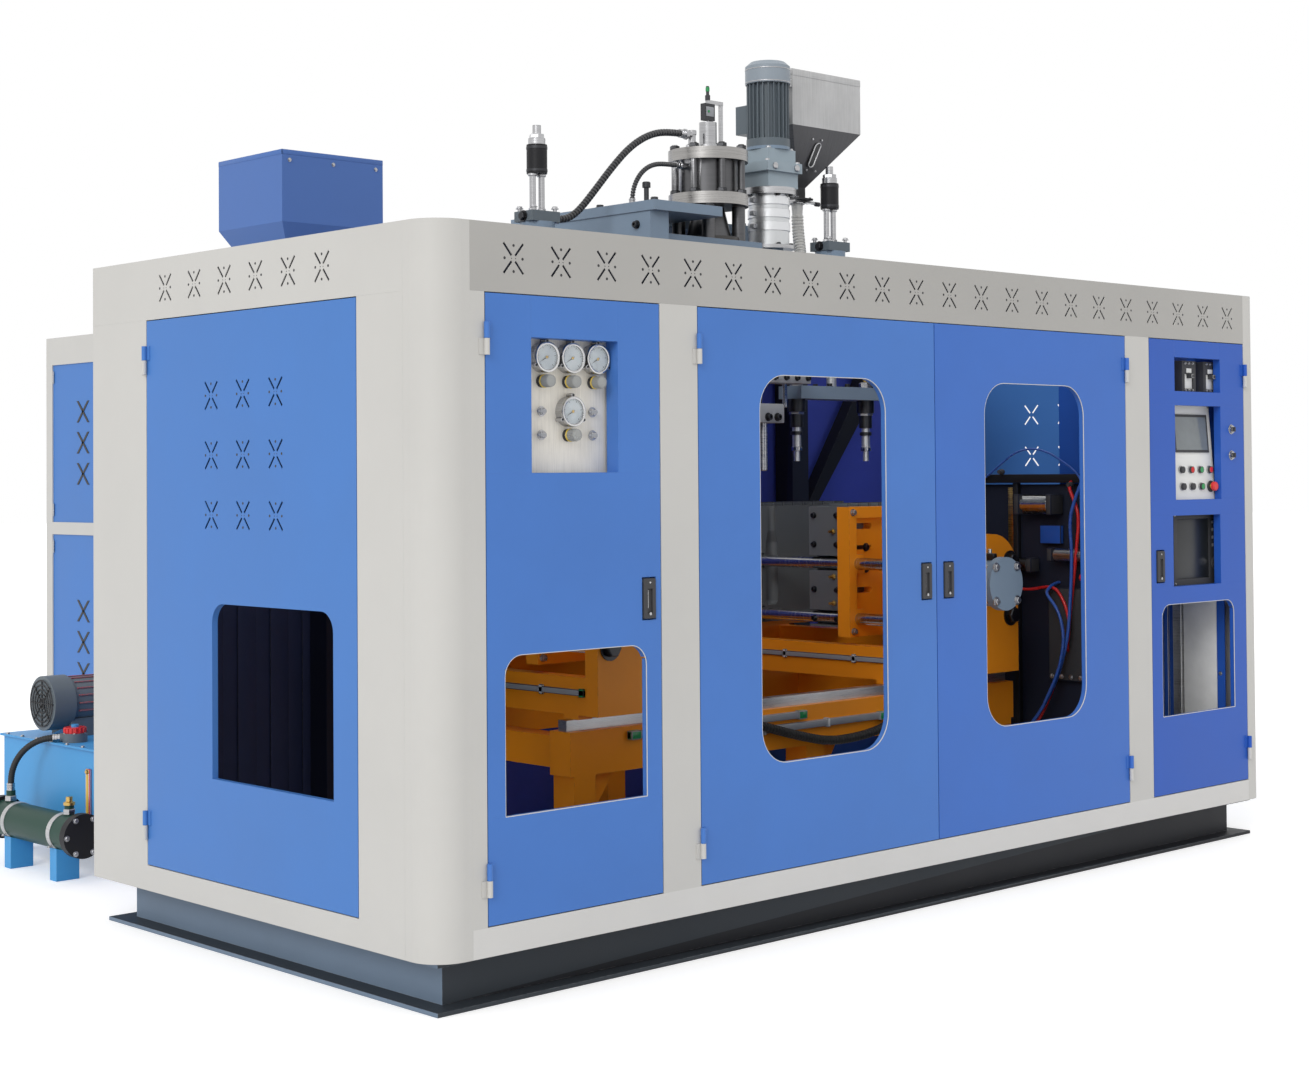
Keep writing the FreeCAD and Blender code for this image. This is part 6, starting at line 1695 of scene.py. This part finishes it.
    def build(self) -> None:
        """Dress the top and add its fittings."""
        self.dress()
        self._head()
        self._plates()
        self._colour_drive()
        self._hopper()
        self._sensor()
        self._guides()
        for run in (HEAD_LONG, HEAD_SHORT, FEED_HOSE):
            run.build("machine")


@dataclass
class InnerServices:
    """What shows through the windows: equipment rack, painted-shade curtain, sensors, conduit and lower tank.
    """

    rack_x: float = 3338.0
    rack_front: float = 112.0
    rack_rear: float = 900.0
    rack_low: float = 146.0
    rack_top: float = 1440.0
    valve_drop: float = 28.0
    curtain_start: float = 388.0
    curtain_strips: int = 17
    strip_pitch: float = 66.0
    bed_face: float = 520.0

    def _rack(self) -> None:
        """The black rack between the bed and the control cabinet, with its valves."""
        shape = Shape("equipment_rack")
        x, y0, y1 = self.rack_x, self.rack_front, self.rack_rear
        shape.box((x + 18, y0, self.rack_low), (x + 26, y1, self.rack_top - 40), SHADE_PAINT)
        shape.box((x - 14, y0, self.rack_top - 34), (x + 32, y1, self.rack_top), BLACK_PAINT, 2)
        for y in (y0, 590, y1 - 24):
            shape.box((x - 4, y, self.rack_low), (x + 18, y + 24, self.rack_top - 34), BLACK_PAINT, 2)
        shape.box((x - 10, 150, 640), (x + 10, 445, 1000), BLACK_PLASTIC, 4)
        shape.bolts((x - 10,), range(165, 445, 44), (656,), LEFT, 7, STEEL)
        shape.box((x - 6, 384, 1168), (x + 14, 483, 1242), DEEP_BLUE_AND_SHADED_DOOR_PAINT, 3)
        shape.box((x - 2, 600, 1060), (x + 16, 640, 1390), BRASS, 2)
        self._valve(shape, 409, 1322, 38, 128, TURNED_Y)
        self._valve(shape, 516, 1085, 26, 130, DARK_STEEL)
        self._valve(shape, 262, 1128, 24, 130, STEEL)
        shape.rod((x - self.valve_drop, 240, 1043), REAR, 14, 38, RED_PLASTIC, 3)
        for y, z in ((320, 1398), (241, 1428), (426, 988), (622, 1006), (649, 1450), (261, 1350)):
            shape.lathe([(0, 0), (11, 0), (11, 14), (8, 18), (8, 26), (0, 26)], (x - 20, y, z), LEFT,
                        BLACK_PLASTIC, 16)
        shape.build("machine", "black_plastic")

    def _valve(self, shape: Shape, y: float, z: float, radius: float, length: float, finish: Finish) -> None:
        """Add a round actuator between two black end blocks, along Y.

        Args:
            shape: The piece that it belongs to.
            y: Where the actuator starts.
            z: Its middle's height.
            radius: Its radius.
            length: Its length.
            finish: Its surface.
        """
        x = self.rack_x - self.valve_drop
        half = radius + 2
        shape.rod((x, y, z), REAR, radius, length, finish, 3)
        for start in (y - 26, y + length):
            shape.box((x - half, start, z - half), (x + half, start + 26, z + half), BLACK_PLASTIC, 4)

    def _shade_strips(self) -> None:
        """Dark strips of painted shade that hang inside the rear wall's service opening."""
        shape = Shape("shade_strip_curtain")
        shape.box((380, 1792, 1262), (1520, 1807, 1296), BLACK_PAINT, 2)
        for i in range(self.curtain_strips):
            low = self.curtain_start + self.strip_pitch * i
            y = 1794 + 6 * (i % 2)
            shape.box((low, y, 190), (low + self.strip_pitch + 8, y + 3, 1270), SHADE_CURTAIN_SHEET, 1)
        shape.build("machine", "rubber_black")

    def _sensors(self) -> None:
        """Linear sensors on the bed's front beam, with their end caps and clips."""
        shape = Shape("bed_sensors")
        for low, high, z in ((1170.0, 2002.0, 612.0), (1350.0, 2430.0, 574.0)):
            shape.box((low, self.bed_face - 20, z - 12), (high, self.bed_face, z + 12), GREY_PLASTIC, 3)
            for x in (low, high - 44):
                shape.box((x, self.bed_face - 24, z - 15), (x + 44, self.bed_face, z + 15), GREEN_PLASTIC, 4)
            for x in (low + 0.4 * (high - low), low + 0.7 * (high - low)):
                shape.box((x, self.bed_face - 23, z - 16), (x + 14, self.bed_face, z + 16), WHITE_PLASTIC, 2)
        shape.build("machine", "sensor_grey")

    @staticmethod
    def _lower_tank() -> None:
        """The blue oil vessel that lies under the bed, with its straps."""
        shape = Shape("lower_vessel")
        profile = [(0, 0), (70, 4), (120, 22), (144, 52), (150, 80), (150, 680), (144, 708), (120, 738),
                   (70, 756), (0, 760)]
        shape.lathe(profile, (2128, 830, 420), RIGHT, DEEP_BLUE_AND_SHADED_DOOR_PAINT, 40)
        for x in (2260, 2700):
            shape.ring((x, 830, 420), RIGHT, 150, 153, 34, STEEL)
        shape.build("machine", "tank_blue")

    @staticmethod
    def _bay() -> None:
        """The lining of the control cabinet's lower bay, on the inside of its right wall."""
        shape = Shape("bay_lining")
        shape.box((3980, 106, 262), (3986, 257, 975), WHITE_PLASTIC, 2)
        shape.box((3964, 258, 262), (3986, 296, 975), STEEL, 2)
        for low in range(300, 408, 27):
            shape.box((3976, low, 262), (3986, low + 22, 975), DEEP_BLUE_AND_SHADED_DOOR_PAINT, 2)
        shape.box((3396, 400, 262), (3970, 408, 975), WHITE_PLASTIC, 2)
        for low in range(420, 940, 130):
            shape.box((3440, 392, low), (3930, 401, low + 96), GREY_PLASTIC, 3)
        shape.build("machine", "panel_grey")

    @staticmethod
    def _cutter() -> None:
        """The cutter's arm, guide block and ram on the die's front."""
        shape = Shape("tube_cutter")
        shape.box((2120, 940, 1790), (2520, 1020, 1836), GREY_PLASTIC, 4)
        shape.box((2120, 950, 1640), (2380, 1020, 1712), GREY_PLASTIC, 4)
        shape.box((2150, 960, 1711), (2270, 1012, 1791), SHADE_PAINT, 2)
        shape.bolts(range(2260, 2520, 60), (940,), (1812,), FRONT, 9, DARK_STEEL, BoltHead.SOCKET)
        shape.bolts((2290, 2340), (950,), (1662,), FRONT, 12, DARK_STEEL, BoltHead.SOCKET)
        shape.rod((2300, 985, 1460), UP, 15, 182, STEEL, 3)
        shape.rod((2420, 985, 1700), UP, 9, 92, CHROME, 2)
        shape.build("machine", "device_grey")

    def build(self) -> None:
        """Add what shows through the windows."""
        self._bay()
        self._cutter()
        self._rack()
        self._shade_strips()
        self._sensors()
        self._lower_tank()
        for run in AIR_TUBES:
            run.build("machine")


@dataclass
class RearUnits:
    """Rear cabinet, main hopper, oil tank and oil cooler."""

    cabinet: Pair = (1524.0, 3300.0)
    tank: Pair = (400.0, 2500.0)
    tank_top: float = 455.0
    filter_cap: Pair = (460.0, 2840.0)
    pump: Pair = (3060.0, 585.0)
    cooler: Point = (270.0, 2434.0, 172.0)

    def dress(self) -> None:
        """Finish the rear units' frame nodes."""
        x = self.cabinet[0]
        # The rear cabinet's left panels take the lighter copy of the door blue, painted light.
        dress("rear_cabinet", GREY_PANEL,
              Zone(LIGHTENED_SIDE_DOOR_PAINT, facing(LEFT, in_box((x + 1, x + 8), None, (151, 2009)))))
        dress("main_hopper", HOPPER_PAINT)
        dress("oil_tank", TANK_PAINT,
              Zone(RED_PLASTIC, near_axis(*self.filter_cap, 41, (489, 513))),
              Zone(MOTOR_PAINT, near_axis(*self.filter_cap, 60, (456, 489))),
              Zone(MOTOR_PAINT, in_box(y=(2940, 3180), z=(470, 700))))
        dress("oil_cooler", COOLER_PAINT, Zone(BLACK_PAINT, in_box(y=(2411, 2447))),
              Zone(BLACK_PAINT, in_box(y=(3027, 3063))), Zone(TANK_PAINT, in_box(z=(0, 112))))

    def _cabinet(self) -> None:
        """Vents, latches and hinges of the rear cabinet's panels."""
        shape = Shape("rear_cabinet_fittings")
        x, y0 = self.cabinet
        for start in (y0 + 60, y0 + 951):
            for low, high in ((150, 1180), (1240, 2010)):
                middle = (low + high) / 2
                for y, drop in product((start + 300, start + 530), (-150, 0, 150)):
                    self._cross(shape, x + 3.6, y, middle + drop)
                shape.box((x - 2, start + 40, middle - 45), (x + 7, start + 66, middle + 45), BLACK_PLASTIC,
                          3)
                shape.bolt((x + 5, start + 53, middle - 30), LEFT, 5, CHROME, BoltHead.SOCKET)
                for z in (low + 60, high - 60):
                    shape.rod((x + 2, start + 822, z - 30), UP, 5, 60, STEEL, 1.0, 14)
        shape.build("machine", "door_blue")

    @staticmethod
    def _cross(shape: Shape, x: float, y: float, z: float) -> None:
        """Add one cross-shaped vent of the rear cabinet, its opening a dark cross of painted shade.

        Args:
            shape: The piece that it belongs to.
            x: The sheet's place.
            y: The cross's middle along the sheet.
            z: Its middle's height.
        """
        reach, half = 52, 9
        for lean in (-1, 1):
            arm = [(x, y + end + side, z + end * lean)
                   for end, side in ((-reach, -half), (-reach, half), (reach, half), (reach, -half))]
            shape.prism(arm, (2.6, 0, 0), INK_AND_HOLE_SHADE)

    def _hopper(self) -> None:
        """Rim and seams of the main hopper."""
        shape = Shape("main_hopper_rim")
        x0, x1, y0, y1, z = 1830.0, 2383.0, 3508.0, 4040.0, 2925.0
        for high in ((x1, y0 + 2, z - 2), (x0 + 2, y1, z - 2)):
            shape.box((x0 - 1.2, y0 - 1.2, z - 22), high, HOPPER_PAINT, 0.6)
        shape.bolts((x0 + 40, (x0 + x1) / 2, x1 - 40), (y0,), (z - 46,), FRONT, 7, STEEL)
        shape.bolts((1991.5, 2221.5), (3659, 3889), (2156,), UP, 11, STEEL)
        shape.build("machine", "hopper_blue")

    def _tank(self) -> None:
        """Filter ribs, lid bolts, level glass and motor grille of the oil tank."""
        shape = Shape("oil_tank_fittings")
        x0, y0 = self.tank
        cap_x, cap_y = self.filter_cap
        for across, along in around(16, 40):
            shape.rod((cap_x + across, cap_y + along, 491), UP, 3.4, 18, RED_PLASTIC, 1.0, 10)
        for across, along in around(6, 43):
            shape.bolt((cap_x + across, cap_y + along, 488), UP, 4, STEEL)
        shape.bolts(range(440, 1040, 110), (y0 - 3,), (self.tank_top,), UP, 7, STEEL)
        shape.bolts((x0 - 3,), range(2540, 3300, 120), (self.tank_top,), UP, 7, STEEL)
        shape.box((x0 - 9, 2600, 180), (x0, 2632, 380), ALUMINIUM, 3)
        shape.box((x0 - 11, 2608, 200), (x0 - 8, 2624, 360), YELLOW_PLASTIC, 1)
        shape.bolts((x0 - 9,), (2616,), (190, 370), LEFT, 8, BRASS)
        pump_y, pump_z = self.pump
        for i in range(5):
            shape.ring((438 - 0.5 * i, pump_y, pump_z), LEFT, 18 + 17 * i, 23 + 17 * i, 3, BLACK_PAINT)
        hub = Vector((437, pump_y, pump_z))
        for along, up in around(8, 90):
            shape.sweep([hub, hub + Vector((0, along, up))], [2.4, 2.4], BLACK_PAINT, 8)
        for along, up in around(20, 96):
            y, z = pump_y + along, pump_z + up
            if z > 540:
                shape.box((545, y - 2.5, z - 2.5), (770, y + 2.5, z + 2.5), MOTOR_PAINT, 1)
        shape.ferrule((416.5, 2872, 472), (-0.8051, 0.5932, 0), 12)
        shape.build("machine", "tank_blue")

    def _cooler(self) -> None:
        """Straps, end bolts and port fittings of the oil cooler."""
        shape = Shape("oil_cooler_fittings")
        x, y0, z = self.cooler
        for y in (y0 + 112, y0 + 470):
            shape.ring((x, y, z), REAR, 65, 69, 26, STAINLESS)
            shape.bolts((x - 60, x + 60), (y + 13,), (z - 50,), UP, 7, STEEL)
        for across, up in around(6, 68):
            shape.bolt((x + across, y0 - 22, z + up), FRONT, 8, STEEL)
            shape.bolt((x + across, y0 + 628, z + up), REAR, 8, STEEL)
        for y in (y0 + 90, 2980):
            shape.nut((x, y, 240), UP, 0, 23, 19, STEEL)
        shape.ferrule((x, 2980, 278), UP, 12)
        shape.lathe([(17, 0), (21, 0), (21, 10), (12, 14), (12, 30), (0, 30)], (x, y0 + 90, 272), UP, BRASS,
                    22)
        shape.build("machine", "cooler_green")

    def build(self) -> None:
        """Dress the rear units and add their fittings."""
        self.dress()
        self._cabinet()
        self._hopper()
        self._tank()
        self._cooler()
        TANK_LINE.build("machine")


def main() -> None:
    """Build the studio and dress every sub-assembly in turn."""
    logging.basicConfig(level=logging.INFO, format="%(name)s: %(message)s")
    Studio().build()
    for assembly in (Enclosure(), GaugePanel(), ControlStation(), MouldStation("left", 1296.0),
                     MouldStation("right", 2811.0), HeadTower(), InnerServices(), RearUnits()):
        assembly.build()
        LOG.info("%s built", type(assembly).__name__)


if __name__ == "__main__":
    main()
